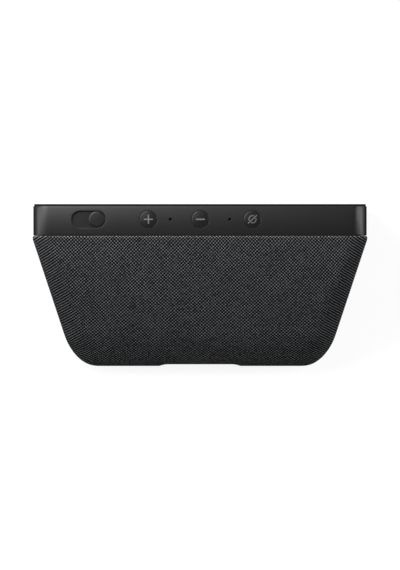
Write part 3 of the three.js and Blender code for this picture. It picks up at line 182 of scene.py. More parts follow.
def face_outwards(piece):
    """Turns a closed shell's faces outwards, by the sign of the volume that they enclose."""
    mesh = piece.data
    mesh.calc_loop_triangles()
    points = read_array(mesh.vertices, "co", 3).astype(float)
    triangles = read_array(mesh.loop_triangles, "vertices", 3, np.int32)
    a, b, c = (points[triangles[:, corner]] for corner in range(3))
    if np.einsum("ij,ij->i", a, np.cross(b, c)).sum() < 0:
        mesh.flip_normals()


def loft(name, rings):
    """A closed solid through rings of points, as rings x points x 3, capped at the first and last ring."""
    count, around = rings.shape[:2]
    first = np.arange(around)[::-1]
    last = np.arange(around) + (count - 1) * around
    solid = new_object(name, rings, tube_faces(count, around), caps=[first, last])
    face_outwards(solid)
    return solid


# %% [markdown]
# ## Cutting and smoothing
#
# Holes are cut with the Boolean modifier, because the walls they go through are curved, and what is left
# has to stay one closed shell. Its result is applied at once, so the next cut works on a plain mesh.
# Shading is smooth across gentle bends, and an edge that turns by more than a set angle stays crisp.

# %% Boolean steps
def combine(piece, operation, others):
    """Applies one Boolean step for each other closed solid, and removes that solid from the scene."""
    for other in others:
        step = piece.modifiers.new("combine", "BOOLEAN")
        step.operation = operation
        step.solver = "EXACT"
        step.object = other
        seen = piece.evaluated_get(bpy.context.evaluated_depsgraph_get())
        result = bpy.data.meshes.new_from_object(seen)
        piece.modifiers.clear()
        piece.data = result
        bpy.data.objects.remove(other)


def cut(piece, *cutters):
    """Takes closed solids out of a piece, one by one."""
    combine(piece, "DIFFERENCE", cutters)


# %% What every finished piece gets
def finish_piece(piece, body, material, replaces=(), crisp_from=40):
    """Gives a piece its shading, its finish, the body that carries it and the CAD nodes that it stands for.

    Edges that turn by more than crisp_from degrees stay crisp.
    """
    piece.data.shade_smooth()
    piece.data.set_sharp_from_angle(angle=math.radians(crisp_from))
    piece.data.materials.clear()
    piece.data.materials.append(material)
    if body:
        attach(piece, body)
    if replaces:
        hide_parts(*replaces)
    print(f"{piece.name}: {len(piece.data.polygons)} faces, rides {body or 'two bodies'}")


# %% Outlines
def rounded_box_ring(half_x, half_y, radius, steps):
    """A rectangle with round corners, anticlockwise.

    It is four quarter circles, whose centres sit radius in from the corners.
    """
    turn = np.linspace(0, math.pi / 2, steps + 1)
    quarters = turn[None, :] + math.pi / 2 * np.arange(4)[:, None]
    sign_x = np.array([1, -1, -1, 1])[:, None]
    sign_y = np.array([1, 1, -1, -1])[:, None]
    x = sign_x * (half_x - radius) + radius * np.cos(quarters)
    y = sign_y * (half_y - radius) + radius * np.sin(quarters)
    return np.stack([x.ravel(), y.ravel()], axis=1)


def slot_ring(length, width, grow=0.0, steps=14):
    """A slot's outline, grown by an amount: a straight middle and two ends that are all but half circles."""
    half_width = width / 2 + grow
    return rounded_box_ring(length / 2 + grow, half_width, half_width - 1e-4, steps)


def circle_ring(radius, sides=48):
    """A circle, anticlockwise."""
    turn = np.arange(sides) * 2 * math.pi / sides
    return radius * np.stack([np.cos(turn), np.sin(turn)], axis=1)


def with_steps(ring, longest):
    """The same closed outline with extra points, so that no stretch of it is longer than a length."""
    following = np.roll(ring, -1, axis=0)
    lengths = np.linalg.norm(following - ring, axis=1)
    counts = np.maximum(1, np.ceil(lengths / longest).astype(int))
    share = np.concatenate([np.arange(count) / count for count in counts])[:, None]
    return np.repeat(ring, counts, axis=0) * (1 - share) + np.repeat(following, counts, axis=0) * share


# %% [markdown]
# ## Wiring shader nodes
#
# Patterns such as weave and grain are sums of simple functions, and each function is one node. A small
# class keeps that readable: it adds nodes to a tree and puts a number or another node's output into their
# inputs.

# %% A helper that wires nodes
class Wires:
    """Adds nodes to one tree. A value for an input is a number, a colour or another node's output."""

    def __init__(self, tree):
        self.tree = tree

    def put(self, socket, value):
        """Sets an input, or links another node's output to it."""
        if isinstance(value, bpy.types.NodeSocket):
            self.tree.links.new(value, socket)
        else:
            socket.default_value = value

    def node(self, kind, inputs=None, **settings):
        """A new node of a kind. Its inputs are given by name or by number."""
        made = self.tree.nodes.new(kind)
        for name, value in settings.items():
            setattr(made, name, value)
        for name, value in (inputs or {}).items():
            self.put(made.inputs[name], value)
        return made

    def math(self, operation, *values, clamp=False):
        """A function of numbers."""
        made = self.node("ShaderNodeMath", dict(enumerate(values)), operation=operation, use_clamp=clamp)
        return made.outputs[0]

    def vector(self, operation, *values, output="Vector"):
        """A function of vectors. With output="Value" it is the kind that gives a number."""
        made = self.node("ShaderNodeVectorMath", dict(enumerate(values)), operation=operation)
        return made.outputs[output]

    def blend(self, share, low, high):
        """low where share is 0 and high where it is 1, for colours."""
        made = self.node("ShaderNodeMix", data_type="RGBA")
        for slot_index, value in ((0, share), (6, low), (7, high)):
            self.put(made.inputs[slot_index], value)
        return made.outputs[2]

    def lerp(self, share, low, high):
        """low where share is 0 and high where it is 1, for numbers."""
        ends = {"To Min": low, "To Max": high}
        return self.node("ShaderNodeMapRange", {"Value": share, **ends}, clamp=True).outputs[0]

    def ramp(self, value, start, end):
        """0 where a value is start or before it, and 1 where it is end or past it."""
        ends = {"From Min": start, "From Max": end}
        return self.node("ShaderNodeMapRange", {"Value": value, **ends}, clamp=True).outputs[0]

    def bump(self, height, deep, strength=1.0):
        """The normal of a surface whose relief goes from 0 to a depth in millimetres."""
        inputs = {"Strength": strength, "Distance": deep * MM, "Height": height}
        return self.node("ShaderNodeBump", inputs).outputs[0]

    def noise(self, vector, scale, detail=2.0, roughness=0.5, output="Fac"):
        """Soft noise between 0 and 1. With output="Color" it is three noises at once."""
        inputs = {"Vector": vector, "Scale": scale, "Detail": detail, "Roughness": roughness}
        return self.node("ShaderNodeTexNoise", inputs).outputs[output]


def new_group(name, inputs, outputs):
    """An empty shader group. inputs are (name, default), where None means a vector, and outputs are names."""
    group = bpy.data.node_groups.new(name, "ShaderNodeTree")
    for socket_name, default in inputs:
        kind = "NodeSocketVector" if default is None else "NodeSocketFloat"
        socket = group.interface.new_socket(name=socket_name, in_out="INPUT", socket_type=kind)
        if default is not None:
            socket.default_value = default
    for socket_name in outputs:
        group.interface.new_socket(name=socket_name, in_out="OUTPUT", socket_type="NodeSocketFloat")
    wires = Wires(group)
    return group, wires, wires.node("NodeGroupInput").outputs, wires.node("NodeGroupOutput").inputs


# %% [markdown]
# ## Two effects that many finishes share
#
# Moulded plastic isn't perfectly even. Its mould leaves a grain far finer than a millimetre, and its gloss
# drifts a little from place to place. "Fine grain" gives both: a height for the bump, and a slow drift for
# colour and roughness. "Brushed streaks" stretches the same noise along one axis, for sheet metal that went
# through rollers.

# %% The fine grain and brushed streaks groups
grain_group, g, given, made = new_group(
    "fine grain", [("Vector", None), ("Grain per metre", 3500.0), ("Drift per metre", 45.0)],
    ["Grain", "Drift"])
g.put(made["Grain"], g.noise(given["Vector"], given["Grain per metre"], detail=3.0, roughness=0.6))
g.put(made["Drift"], g.noise(given["Vector"], given["Drift per metre"]))

streak_group, g, given, made = new_group(
    "brushed streaks", [("Vector", None), ("Streaks per metre", 4000.0), ("Stretch", 0.03)], ["Streak"])
stretch = g.node("ShaderNodeCombineXYZ", {"X": given["Stretch"], "Y": 1.0, "Z": 1.0}).outputs[0]
stretched = g.vector("MULTIPLY", given["Vector"], stretch)
g.put(made["Streak"], g.noise(stretched, given["Streaks per metre"]))
print("groups:", [group.name for group in bpy.data.node_groups])

# %% One material from a few numbers
GLOSS_DRIFT = 0.07
STREAK_ROUGHER = 1.6


def new_material(name):
    """A material with one Principled shader: its wires, the shader, and the piece's own coordinates."""
    material = bpy.data.materials.new(name)
    material.use_nodes = True
    wires = Wires(material.node_tree)
    shader = material.node_tree.nodes["Principled BSDF"]
    place = wires.node("ShaderNodeTexCoord").outputs["Object"]
    return material, wires, shader, place


def shaded(colour, factor):
    """A colour made darker or lighter by a factor, with the alpha that a node's colour input needs."""
    return (*[part * factor for part in colour], 1)


def grained(name, colour, roughness, grain, drift=0.15, per_metre=3500.0, specular=0.5):
    """A moulded or coated surface: colour drifts by a share of itself, and grain is a height in mm."""
    material, wires, shader, place = new_material(name)
    inputs = {"Vector": place, "Grain per metre": per_metre}
    effect = wires.node("ShaderNodeGroup", inputs, node_tree=grain_group).outputs
    tinted = wires.blend(effect["Drift"], shaded(colour, 1 - drift), shaded(colour, 1 + drift))
    glossy, dull = roughness * (1 - GLOSS_DRIFT), roughness * (1 + GLOSS_DRIFT)
    wires.put(shader.inputs["Base Color"], tinted)
    wires.put(shader.inputs["Roughness"], wires.lerp(effect["Drift"], glossy, dull))
    wires.put(shader.inputs["Normal"], wires.bump(effect["Grain"], grain))
    shader.inputs["Specular IOR Level"].default_value = specular
    return material


def brushed(name, colour, roughness, streak=0.35):
    """Sheet metal: its roughness and colour vary in streaks along x."""
    material, wires, shader, place = new_material(name)
    effect = wires.node("ShaderNodeGroup", {"Vector": place}, node_tree=streak_group).outputs["Streak"]
    tinted = wires.blend(effect, shaded(colour, 1 - streak), shaded(colour, 1))
    wires.put(shader.inputs["Base Color"], tinted)
    wires.put(shader.inputs["Roughness"], wires.lerp(effect, roughness, roughness * STREAK_ROUGHER))
    shader.inputs["Metallic"].default_value = 1.0
    return material


# %% [markdown]
# ## Finishes of the hidden and the small pieces
#
# Inside are boards, cans, a driver and its magnet. They're seldom seen, yet each is a real material: solder
# mask, tinned steel, copper, paper pulp and woven spider cloth. Each is one of the two functions above with
# its own numbers, so this is a table. The slots are the CAD record's.

# %% The plain finishes
FINISHES = {
    "bezel": grained("satin black plastic", (0.004, 0.004, 0.0042), 0.38, grain=0.003),
    "buttons": grained("key plastic", (0.005, 0.005, 0.0052), 0.36, grain=0.004, specular=0.35),
    "dark_shell": grained("textured black plastic", (0.013, 0.013, 0.0135), 0.6, grain=0.03,
                          per_metre=1600.0),
    "connector": grained("connector plastic", (0.006, 0.006, 0.006), 0.5, grain=0.01),
    "blade": grained("shutter foil", (0.008, 0.008, 0.008), 0.7, grain=0.01),
    "rubber": grained("soft rubber", (0.012, 0.012, 0.012), 0.85, grain=0.03, per_metre=2200.0),
    "adhesive": grained("foam tape", (0.01, 0.01, 0.01), 0.9, grain=0.05, per_metre=2500.0),
    "circuit_board": grained("solder mask", (0.006, 0.045, 0.022), 0.4, grain=0.006, per_metre=900.0),
    "ferrite": grained("sintered ferrite", (0.03, 0.03, 0.033), 0.75, grain=0.02, per_metre=1500.0),
    "cone_paper": grained("paper pulp", (0.012, 0.012, 0.012), 0.85, grain=0.05, per_metre=1100.0),
    "ribbon": grained("flexible film", (0.62, 0.5, 0.3), 0.45, grain=0.004),
    "display": grained("display film", (0.02, 0.022, 0.027), 0.35, grain=0.002),
    "cover_glass": grained("coated lens", (0.08, 0.09, 0.22), 0.1, grain=0.0005),
    "spider_cloth": grained("varnished cloth", (0.42, 0.25, 0.07), 0.8, grain=0.06, per_metre=1000.0),
    "stamped_metal": brushed("stamped steel", (0.6, 0.6, 0.61), 0.35),
    "tin": brushed("tinned steel", (0.78, 0.78, 0.77), 0.25, streak=0.2),
    "copper": brushed("copper", (0.9, 0.45, 0.28), 0.3),
    "gold_plate": brushed("gold plating", (0.95, 0.68, 0.3), 0.25, streak=0.2),
}
print(len(FINISHES), "plain finishes")

# %% [markdown]
# ## Dressing the CAD pieces
#
# Every CAD node gets the finish of its slot now. Those that a finer piece stands for are hidden later, when
# that piece names them, and the others are seen as they are: boards and screws inside, the base, the
# sockets.

# %% A finish on every CAD node
for part in frame["record"]["subparts"]:
    node = frame["nodes"][part["node"]]
    node.data.materials.clear()
    node.data.materials.append(FINISHES.get(part["material_slot"], FINISHES["dark_shell"]))

# %% [markdown]
# ## The bezel
#
# The bezel is one moulding. It frames the glass and its top edge is the bar with the controls. A box with
# bevelled edges would come close, but the light on the bar fades from front to back, since such a bar is
# slightly crowned to hide sink marks. So it is lofted: each ring is a rectangle with round corners, drawn
# in by the small round of the front and rear edges and lowered at the top by the crown. The bezel and the
# glass are pressed a hair into what they touch, because a gap seen end-on would let light through.

# %% The bezel's shape
BEZEL_LOW, BEZEL_HIGH = face_box("front_bezel")
GLASS_LOW, GLASS_HIGH = face_box("cover_glass")
PRESSED = 0.005
BEZEL_LOW[1] = GLASS_HIGH[1] - PRESSED
BEZEL_CORNER = 6.0
CROWN = 0.3
EDGE_ROUND = 0.12
bezel_half = (BEZEL_HIGH - BEZEL_LOW) / 2
bezel_middle = (BEZEL_HIGH + BEZEL_LOW) / 2
face_half = bezel_half[[0, 2]]


def crown(depth):
    """How far the bar's top has come down at a depth: nothing in the middle and CROWN at either edge."""
    return CROWN * ((depth - bezel_middle[1]) / bezel_half[1]) ** 2


def frame_rings(depths, insets, half, corner, drop=None, longest=math.inf):
    """Rings of a rounded rectangle in the face's plane, one per depth, each drawn in by its inset.

    drop gives how far the top edge comes down at each depth, which lowers the upper half of a ring in
    proportion. longest limits the length of a step along the straight sides.
    """
    drop = np.zeros(len(depths)) if drop is None else drop
    whole = with_steps(rounded_box_ring(*half, corner, steps=14), longest)
    outwards = (whole - np.clip(whole, corner - half, half - corner)) / corner
    rings = []
    for depth, inset, fall in zip(depths, insets, drop):
        outline = whole - inset * outwards
        up = outline[:, 1] * np.where(outline[:, 1] > 0, 1 - fall / half[1], 1)
        rings.append(on_face(outline[:, 0], depth, bezel_middle[2] + up))
    return np.array(rings)


def rounded_ends(low, high, radius, middle_steps, round_steps=5):
    """Depths from low to high and the inset at each, so that both ends are rounded with a quarter circle."""
    turn = np.linspace(0, math.pi / 2, round_steps + 1)
    near = low + radius * (1 - np.sin(turn))
    inset = radius * (1 - np.cos(turn))
    middle = np.linspace(low + radius, high - radius, middle_steps)[1:-1]
    depths = np.concatenate([near[::-1], middle, high - near + low])
    return depths, np.concatenate([inset[::-1], 0 * middle, inset])


depths, insets = rounded_ends(BEZEL_LOW[1], BEZEL_HIGH[1], EDGE_ROUND, middle_steps=20)
bezel = loft("bezel_shell", frame_rings(depths, insets, face_half, BEZEL_CORNER, crown(depths), longest=1.3))
print("bezel outline", (2 * face_half).round(1), "mm")

# %% [markdown]
# ## Holes in the bezel
#
# The buttons come up through round holes, the shutter's knob runs in a slot, and two pinholes lead to the
# microphones. On the face, the display needs a window, and the camera and the light sensor a small round
# one each. Each hole is a plug that is taken away. The plugs' rims flare, because a moulded hole never has
# a knife edge, and the thin lit line around each opening is what makes it look real.

# %% Sizes and places of the controls
BUTTONS = {"volume_up": "plus", "volume_down": "minus", "mic_off": "slash"}
BUTTON_RADIUS = 3.8
BUTTON_GAP = 0.06
KNOB_RADIUS = 3.6
SLOT_WIDTH, SLOT_SPARE = 7.4, 0.3
MIC_RADIUS = 0.62
MIC_BETWEEN = 0.57


def button_node(body):
    """The CAD node of a push button, which is the only node that its body carries."""
    return frame["record"]["behaviour"]["bodies"][body][0]


button_box = {body: face_box(button_node(body)) for body in BUTTONS}
button_places = {body: (low[0] + high[0]) / 2 for body, (low, high) in button_box.items()}
SLIDER_LOW, SLIDER_HIGH = face_box("shutter_slider")
knob_rest, bar_line = ((SLIDER_LOW + SLIDER_HIGH) / 2)[:2]
knob_travel = joint_named("shutter_slide")["range_m"][1] / MM
slot_centre = knob_rest + knob_travel / 2
slot_length = 2 * KNOB_RADIUS + knob_travel + SLOT_SPARE
mic_offset = MIC_BETWEEN * (button_places["volume_up"] - button_places["volume_down"])
mic_places = {"left": mic_offset, "right": -mic_offset}
print(f"the controls lie {bar_line:.2f} mm behind the glass, and the knob travels {knob_travel:.1f} mm")

# %% Plugs for the openings
BEZEL_WALL = 2.2
BEZEL_FRONT_WALL = 1.58
PLUG_BELOW = 0.6
PAST = 1.0
ceiling = BEZEL_HIGH[2] - BEZEL_WALL
plug_low = ceiling - PLUG_BELOW
inner_front = BEZEL_LOW[1] + BEZEL_FRONT_WALL


def bar_plug(outline, x, low, high, name="cutter"):
    """A plug down through the bar at x, from height low to high, with an outline given as (x, depth)."""
    return loft(name, np.array([on_face(x + outline[:, 0], bar_line + outline[:, 1], level)
                                for level in (low, high)]))


def face_plug(outline, centre):
    """A plug straight back through glass and bezel, with an outline given as (x, height)."""
    return loft("cutter", np.array([on_face(centre[0] + outline[:, 0], depth, centre[1] + outline[:, 1])
                                    for depth in (0, inner_front + PAST)]))


def flared_plug(outline_of, x, rim, steps=5):
    """A plug down through the bar at x whose rim flares outwards, so the hole gets a rounded edge.

    outline_of(grow) gives the outline grown by an amount. Near the top, the plug grows as a quarter circle of
    radius rim that ends level with the crowned surface, and above it the plug keeps its widest outline.
    """
    start = outline_of(0)
    rings = [on_face(x + start[:, 0], bar_line + start[:, 1], plug_low)]
    for turn in np.linspace(0, math.pi / 2, steps + 1):
        outline = outline_of(rim * (1 - math.cos(turn)))
        depth = bar_line + outline[:, 1]
        height = BEZEL_HIGH[2] - crown(depth) - rim * (1 - math.sin(turn))
        rings.append(on_face(x + outline[:, 0], depth, height))
    rings.append(rings[-1] + 2 * PAST * FACE_UP)
    return loft("cutter", np.array(rings))


# %% Cut the bezel's inside and the display's window
WINDOW_MARGIN, WINDOW_CORNER = 0.3, 0.6
PANEL_LOW, PANEL_HIGH = face_box("display_panel")
panel_half = ((PANEL_HIGH - PANEL_LOW) / 2)[[0, 2]]
panel_place = (0, (PANEL_HIGH[2] + PANEL_LOW[2]) / 2)
inside_depths = [inner_front, BEZEL_HIGH[1] + PAST]
cut(bezel, loft("cutter", frame_rings(inside_depths, [BEZEL_WALL] * 2, face_half, BEZEL_CORNER)))
cut(bezel, face_plug(rounded_box_ring(*(panel_half + WINDOW_MARGIN), WINDOW_CORNER, steps=3), panel_place))
print("bezel with its window:", len(bezel.data.polygons), "faces")

# %% Cut the openings for the controls
HOLE_ROUND, SLOT_ROUND = 0.08, 0.2
PLATE_BELOW, PLATE_GAP = 1.6, 0.15
POCKET_CORNER = 0.4
hole_radius = BUTTON_RADIUS + BUTTON_GAP
for x in button_places.values():
    cut(bezel, flared_plug(lambda grow: circle_ring(hole_radius + grow, sides=64), x, HOLE_ROUND))
for x in mic_places.values():
    cut(bezel, flared_plug(lambda grow: circle_ring(MIC_RADIUS + grow, sides=24), x, HOLE_ROUND))
cut(bezel, flared_plug(lambda grow: slot_ring(slot_length, SLOT_WIDTH, grow), slot_centre, SLOT_ROUND))
plate_low, plate_top = SLIDER_LOW[2], BEZEL_HIGH[2] - PLATE_BELOW
plate_half = ((SLIDER_HIGH - SLIDER_LOW) / 2)[:2]
pocket_half = plate_half + [knob_travel / 2, 0] + PLATE_GAP
pocket = rounded_box_ring(*pocket_half, POCKET_CORNER, steps=3)
cut(bezel, bar_plug(pocket, slot_centre, plug_low, plate_top + PLATE_GAP))

# %% Cut the holes of the camera and the light sensor
CAMERA_HOLE, SENSOR_HOLE = 1.9, 0.9
SENSOR_ACROSS = 30.0
camera_low, camera_high = face_box("camera_lens")
camera_place = ((camera_low[0] + camera_high[0]) / 2, (camera_low[2] + camera_high[2]) / 2)
sensor_place = (SENSOR_ACROSS, camera_place[1])
cut(bezel, face_plug(circle_ring(CAMERA_HOLE), camera_place),
    face_plug(circle_ring(SENSOR_HOLE, sides=24), sensor_place))
finish_piece(bezel, "housing", FINISHES["bezel"], ["front_bezel"], crisp_from=35)

# %% [markdown]
# ## Acoustic mesh
#
# Behind each pinhole a fine mesh keeps dust out of the microphone. Its weave is too fine to be seen at any
# distance, so a thin disc a little way down the hole stands for it. Its near-black colour and its lack of
# any gloss are partly the mesh's own and partly painted shade, which keeps the hole black.

# %% Acoustic mesh in the microphone holes
MESH_DEPTH, MESH_THICK, MESH_FIT = 1.2, 0.15, 0.02
# Partly painted shade: the disc is nearly black and has no gloss, so the hole looks black.
mesh_and_hole_shade_finish = grained("acoustic mesh and painted hole shade", (0.002, 0.002, 0.002), 1.0, grain=0.02, per_metre=9000.0,
                      specular=0.0)
mesh_top = BEZEL_HIGH[2] - MESH_DEPTH
outline = circle_ring(MIC_RADIUS - MESH_FIT, sides=24)
for side, x in mic_places.items():
    disc = bar_plug(outline, x, mesh_top - MESH_THICK, mesh_top, f"microphone_mesh_and_shade_{side}")
    finish_piece(disc, "housing", mesh_and_hole_shade_finish)

# %% [markdown]
# ## The glass and its printed border
#
# A cover glass is clear, and the black border around the display is printed on its back. So there are two
# pieces: a clear slab with a rounded edge, and a thin black sheet behind it with openings for the display,
# the camera and the light sensor. The slab's rim is blackened with ink, so that no light leaks along the
# glass, and from above it shows as a dark line in front of the bar.

# %% The cover glass
PRINT_THICK = 0.05
GLASS_CORNER, GLASS_ROUND = 5.6, 0.22
glass_half = ((GLASS_HIGH - GLASS_LOW) / 2)[[0, 2]]
print_front = GLASS_HIGH[1] - PRINT_THICK
pane_depths = (GLASS_LOW[1], print_front + PRESSED)
depths, insets = rounded_ends(*pane_depths, GLASS_ROUND, middle_steps=4, round_steps=4)
glass = loft("cover_glass_pane", frame_rings(depths, insets, glass_half, GLASS_CORNER))
glass_finish, wires, shader, place = new_material("clear glass")
shader.inputs["Base Color"].default_value = (0.9, 0.92, 0.92, 1)
shader.inputs["IOR"].default_value = 1.5
shader.inputs["Transmission Weight"].default_value = 1.0
smear = wires.node("ShaderNodeGroup", {"Vector": place, "Grain per metre": 60.0}, node_tree=grain_group)
wires.put(shader.inputs["Roughness"], wires.lerp(smear.outputs["Grain"], 0.01, 0.04))
finish_piece(glass, "housing", glass_finish, ["cover_glass"])

# %% Ink on the glass's rim
FACES_FORWARD = 0.999
glass.data.materials.append(grained("edge ink", (0.01, 0.01, 0.01), 0.8, grain=0.001, specular=0.15))
on_rim = np.abs(read_array(glass.data.polygons, "normal", 3) @ FACE_IN) < FACES_FORWARD
glass.data.polygons.foreach_set("material_index", on_rim.astype(np.int32))
print(on_rim.sum(), "faces of the glass's rim are inked")

# %% The printed border behind it
BORDER_INSET = 0.05
VIEW_MARGIN, VIEW_CORNER = 1.5, 0.5
CAMERA_WINDOW, SENSOR_WINDOW = 1.5, 0.7
border_depths = [print_front, GLASS_HIGH[1]]
border_rings = frame_rings(border_depths, [BORDER_INSET] * 2, glass_half, GLASS_CORNER)
border = loft("glass_border_print", border_rings)
cut(border, face_plug(rounded_box_ring(*(panel_half - VIEW_MARGIN), VIEW_CORNER, steps=3), panel_place),
    face_plug(circle_ring(CAMERA_WINDOW), camera_place),
    face_plug(circle_ring(SENSOR_WINDOW, sides=24), sensor_place))
border_finish = grained("printed border", (0.004, 0.004, 0.004), 0.5, grain=0.001)
finish_piece(border, "housing", border_finish)

# %% [markdown]
# ## The push buttons
#
# Each button is turned around one axis: a slightly domed cap with a rounded edge, a flange that keeps it
# from falling out, and a stem that reaches its switch. The profile is a list of (radius, height) stretches,
# and the whole surface is that profile carried round a circle.

# %% The buttons' profile, turned
CAP_EDGE, CAP_FALL, CAP_DOME = 0.7, 0.17, 0.14
FLANGE_THICK = 0.8
STEM_RADIUS = 1.0
NEAR_AXIS = 0.02


def turned(name, profile, x, sides=72):
    """A closed solid of revolution about an upright axis at x, from a profile of (radius, height) rows.

    Row i, column j of the sheet is the point at the profile's radius i, turned by j steps round the axis. The
    profile starts and ends close to the axis, where the two caps close it.
    """
    ring = circle_ring(1.0, sides)
    radius, height = profile[:, :1], profile[:, 1:]
    return loft(name, on_face(x + radius * ring[:, 0], bar_line + radius * ring[:, 1], height))


def domed_cap(radius, top, edge, fall, dome, steps=10):
    """Profile rows of a cap: a shallow dome out from the axis, then a quarter of an ellipse down to its side.

    The dome falls with the square of the distance from the axis. The ellipse is edge wide and fall high.
    """
    across = np.linspace(NEAR_AXIS, radius - edge, steps)
    crown_rows = np.stack([across, top - dome * (across / (radius - edge)) ** 2], axis=1)
    turn = np.linspace(0, math.pi / 2, steps + 1)[1:]
    rim, height = radius - edge + edge * np.sin(turn), top - dome - fall * (1 - np.cos(turn))
    return np.concatenate([crown_rows, np.stack([rim, height], axis=1)])


for body, x in button_places.items():
    low, high = button_box[body]
    flange_radius = (high[0] - low[0]) / 2
    flange_top = ceiling - BUTTON_GAP
    flange_low = flange_top - FLANGE_THICK
    below = [(BUTTON_RADIUS, flange_top), (flange_radius, flange_top), (flange_radius, flange_low),
             (STEM_RADIUS, flange_low), (STEM_RADIUS, low[2]), (NEAR_AXIS, low[2])]
    profile = np.concatenate([domed_cap(BUTTON_RADIUS, high[2], CAP_EDGE, CAP_FALL, CAP_DOME), below])
    cap = turned(f"{body}_button_cap", profile, x)
    finish_piece(cap, body, FINISHES["buttons"], [button_node(body)], crisp_from=50)

# %% [markdown]
# ## Marks on the buttons
#
# The marks are printed in grey ink: a plus, a minus, and a crossed-out circle that means "microphone off".
# A print could be drawn in the cap's material, but an edge made of faces stays sharp however close the eye
# comes. Ink follows the dome, so each stroke is a thin ribbon laid on it. A ribbon runs between two edges,
# each a row of points, and its cross-section is a flat loop. The ring is broken on both sides of its slash,
# so that the slash stays readable at this size.

# %% Ribbons of ink on a dome
STROKE = 0.58
ARM = 4.0
RING_OUTER, RING_INNER = 1.76, 1.38
SLASH_LENGTH, SLASH_STROKE, SLASH_GAP = 5.3, 0.44, 0.38
SLASH_TURN = math.radians(43)
INK_THICK, INK_SUNK = 0.02, 0.05


def ink_ribbon(left, right, across=4):
    """Points of a closed ribbon between two edges, each an array of (x, depth) rows, as rows x columns x 3.

    Columns go over the ribbon's top from the left edge to the right one and come back underneath, so that a
    row is one loop. The last value of a point is its height over the top of the dome, which falls with the
    square of the distance from the button's middle.
    """
    share = np.linspace(0, 1, across)[None, :, None]
    flat = left[:, None, :] * (1 - share) + right[:, None, :] * share
    fall = CAP_DOME * (flat[..., :1] ** 2 + flat[..., 1:] ** 2) / (BUTTON_RADIUS - CAP_EDGE) ** 2
    top = np.concatenate([flat, INK_THICK - fall], axis=2)
    low = np.concatenate([flat, -INK_SUNK - fall], axis=2)
    return np.concatenate([top, low[:, ::-1]], axis=1)


def straight_stroke(start, end, width, turn=0.0, steps=9):
    """The edges of a straight stroke of a width between two distances along a line through the middle."""
    along = np.linspace(start, end, steps)[:, None]
    direction = np.array([math.cos(turn), math.sin(turn)])
    sideways = np.array([-direction[1], direction[0]]) * width / 2
    return along * direction + sideways, along * direction - sideways


def ring_stroke(turn, steps=25):
    """The edges of half a ring that stops short of a slash: both ends are cut parallel to the slash."""
    edges = []
    for radius in (RING_OUTER, RING_INNER):
        short = math.asin((SLASH_STROKE / 2 + SLASH_GAP) / radius)
        angle = np.linspace(turn + short, turn + math.pi - short, steps)
        edges.append(radius * np.stack([np.cos(angle), np.sin(angle)], axis=1))
    return tuple(edges)


# %% The three marks
def print_mark(name, strokes, x, top):
    """One mesh from a mark's ribbons, each a closed tube, laid on the dome of the button at x."""
    points, faces, caps, used = [], [], [], 0
    for left, right in strokes:
        ribbon = ink_ribbon(left, right)
        rows, loop = ribbon.shape[:2]
        placed = on_face(x + ribbon[..., 0], bar_line + ribbon[..., 1], top + ribbon[..., 2])
        points.append(placed.reshape(-1, 3))
        faces.append(tube_faces(rows, loop) + used)
        caps += [used + np.arange(loop)[::-1], used + (rows - 1) * loop + np.arange(loop)]
        used += rows * loop
    return new_object(name, np.concatenate(points), np.concatenate(faces), caps)


bar_stroke = straight_stroke(-ARM / 2, ARM / 2, STROKE)
upright_strokes = [straight_stroke(STROKE / 2, ARM / 2, STROKE, turn)
                   for turn in (math.pi / 2, -math.pi / 2)]
slash_stroke = straight_stroke(-SLASH_LENGTH / 2, SLASH_LENGTH / 2, SLASH_STROKE, SLASH_TURN)
MARKS = {
    "minus": [bar_stroke],
    "plus": [bar_stroke, *upright_strokes],
    "slash": [slash_stroke, ring_stroke(SLASH_TURN), ring_stroke(SLASH_TURN + math.pi)],
}
ink = grained("grey ink", (0.13, 0.13, 0.13), 0.6, grain=0.001, drift=0.05)
for body, kind in BUTTONS.items():
    cap_top = button_box[body][1][2]
    mark = print_mark(f"{body}_mark_{kind}", MARKS[kind], button_places[body], cap_top)
    finish_piece(mark, body, ink)

# %% [markdown]
# ## The shutter's slider
#
# A flat plate runs under the bar and fills the slot from below, and a round knob stands on it. A finger
# pushes the knob sideways and the blade inside covers the camera. The plate is a thin block, and the knob
# is turned like the buttons but with a flatter top. A union makes one shell of the two.

# %% The slider
KNOB_EDGE, KNOB_FALL, KNOB_DOME = 0.7, 0.3, 0.06
KNOB_SUNK = 0.1
PLATE_CORNER = 0.3
plate = rounded_box_ring(*plate_half, PLATE_CORNER, steps=3)
slider = bar_plug(plate, knob_rest, plate_low, plate_top, "shutter_slider_knob")
knob_low = plate_top - KNOB_SUNK
knob_profile = np.concatenate([domed_cap(KNOB_RADIUS, SLIDER_HIGH[2], KNOB_EDGE, KNOB_FALL, KNOB_DOME),
                               [(KNOB_RADIUS, knob_low), (NEAR_AXIS, knob_low)]])
combine(slider, "UNION", [turned("knob", knob_profile, knob_rest)])
finish_piece(slider, "shutter", FINISHES["buttons"], ["shutter_slider"], crisp_from=50)

# %% [markdown]
# ## The speaker's suspension
#
# Two soft rings carry the cone: the surround at its edge and the spider at its neck. The outer rim of each
# stays with the basket, and the inner rim moves with the cone. Each ring is made in sectors, and neighbours
# mirror each other across the edge that they share. The narrower a ring is for its size, the more sectors
# it has. The sectors are given no body here, and nothing makes them bend.

# %% The cone's axis
CONE_AXIS = unit(joint_named("cone_travel")["axis"])
CONE_UP = np.cross(CONE_AXIS, FACE_ACROSS)


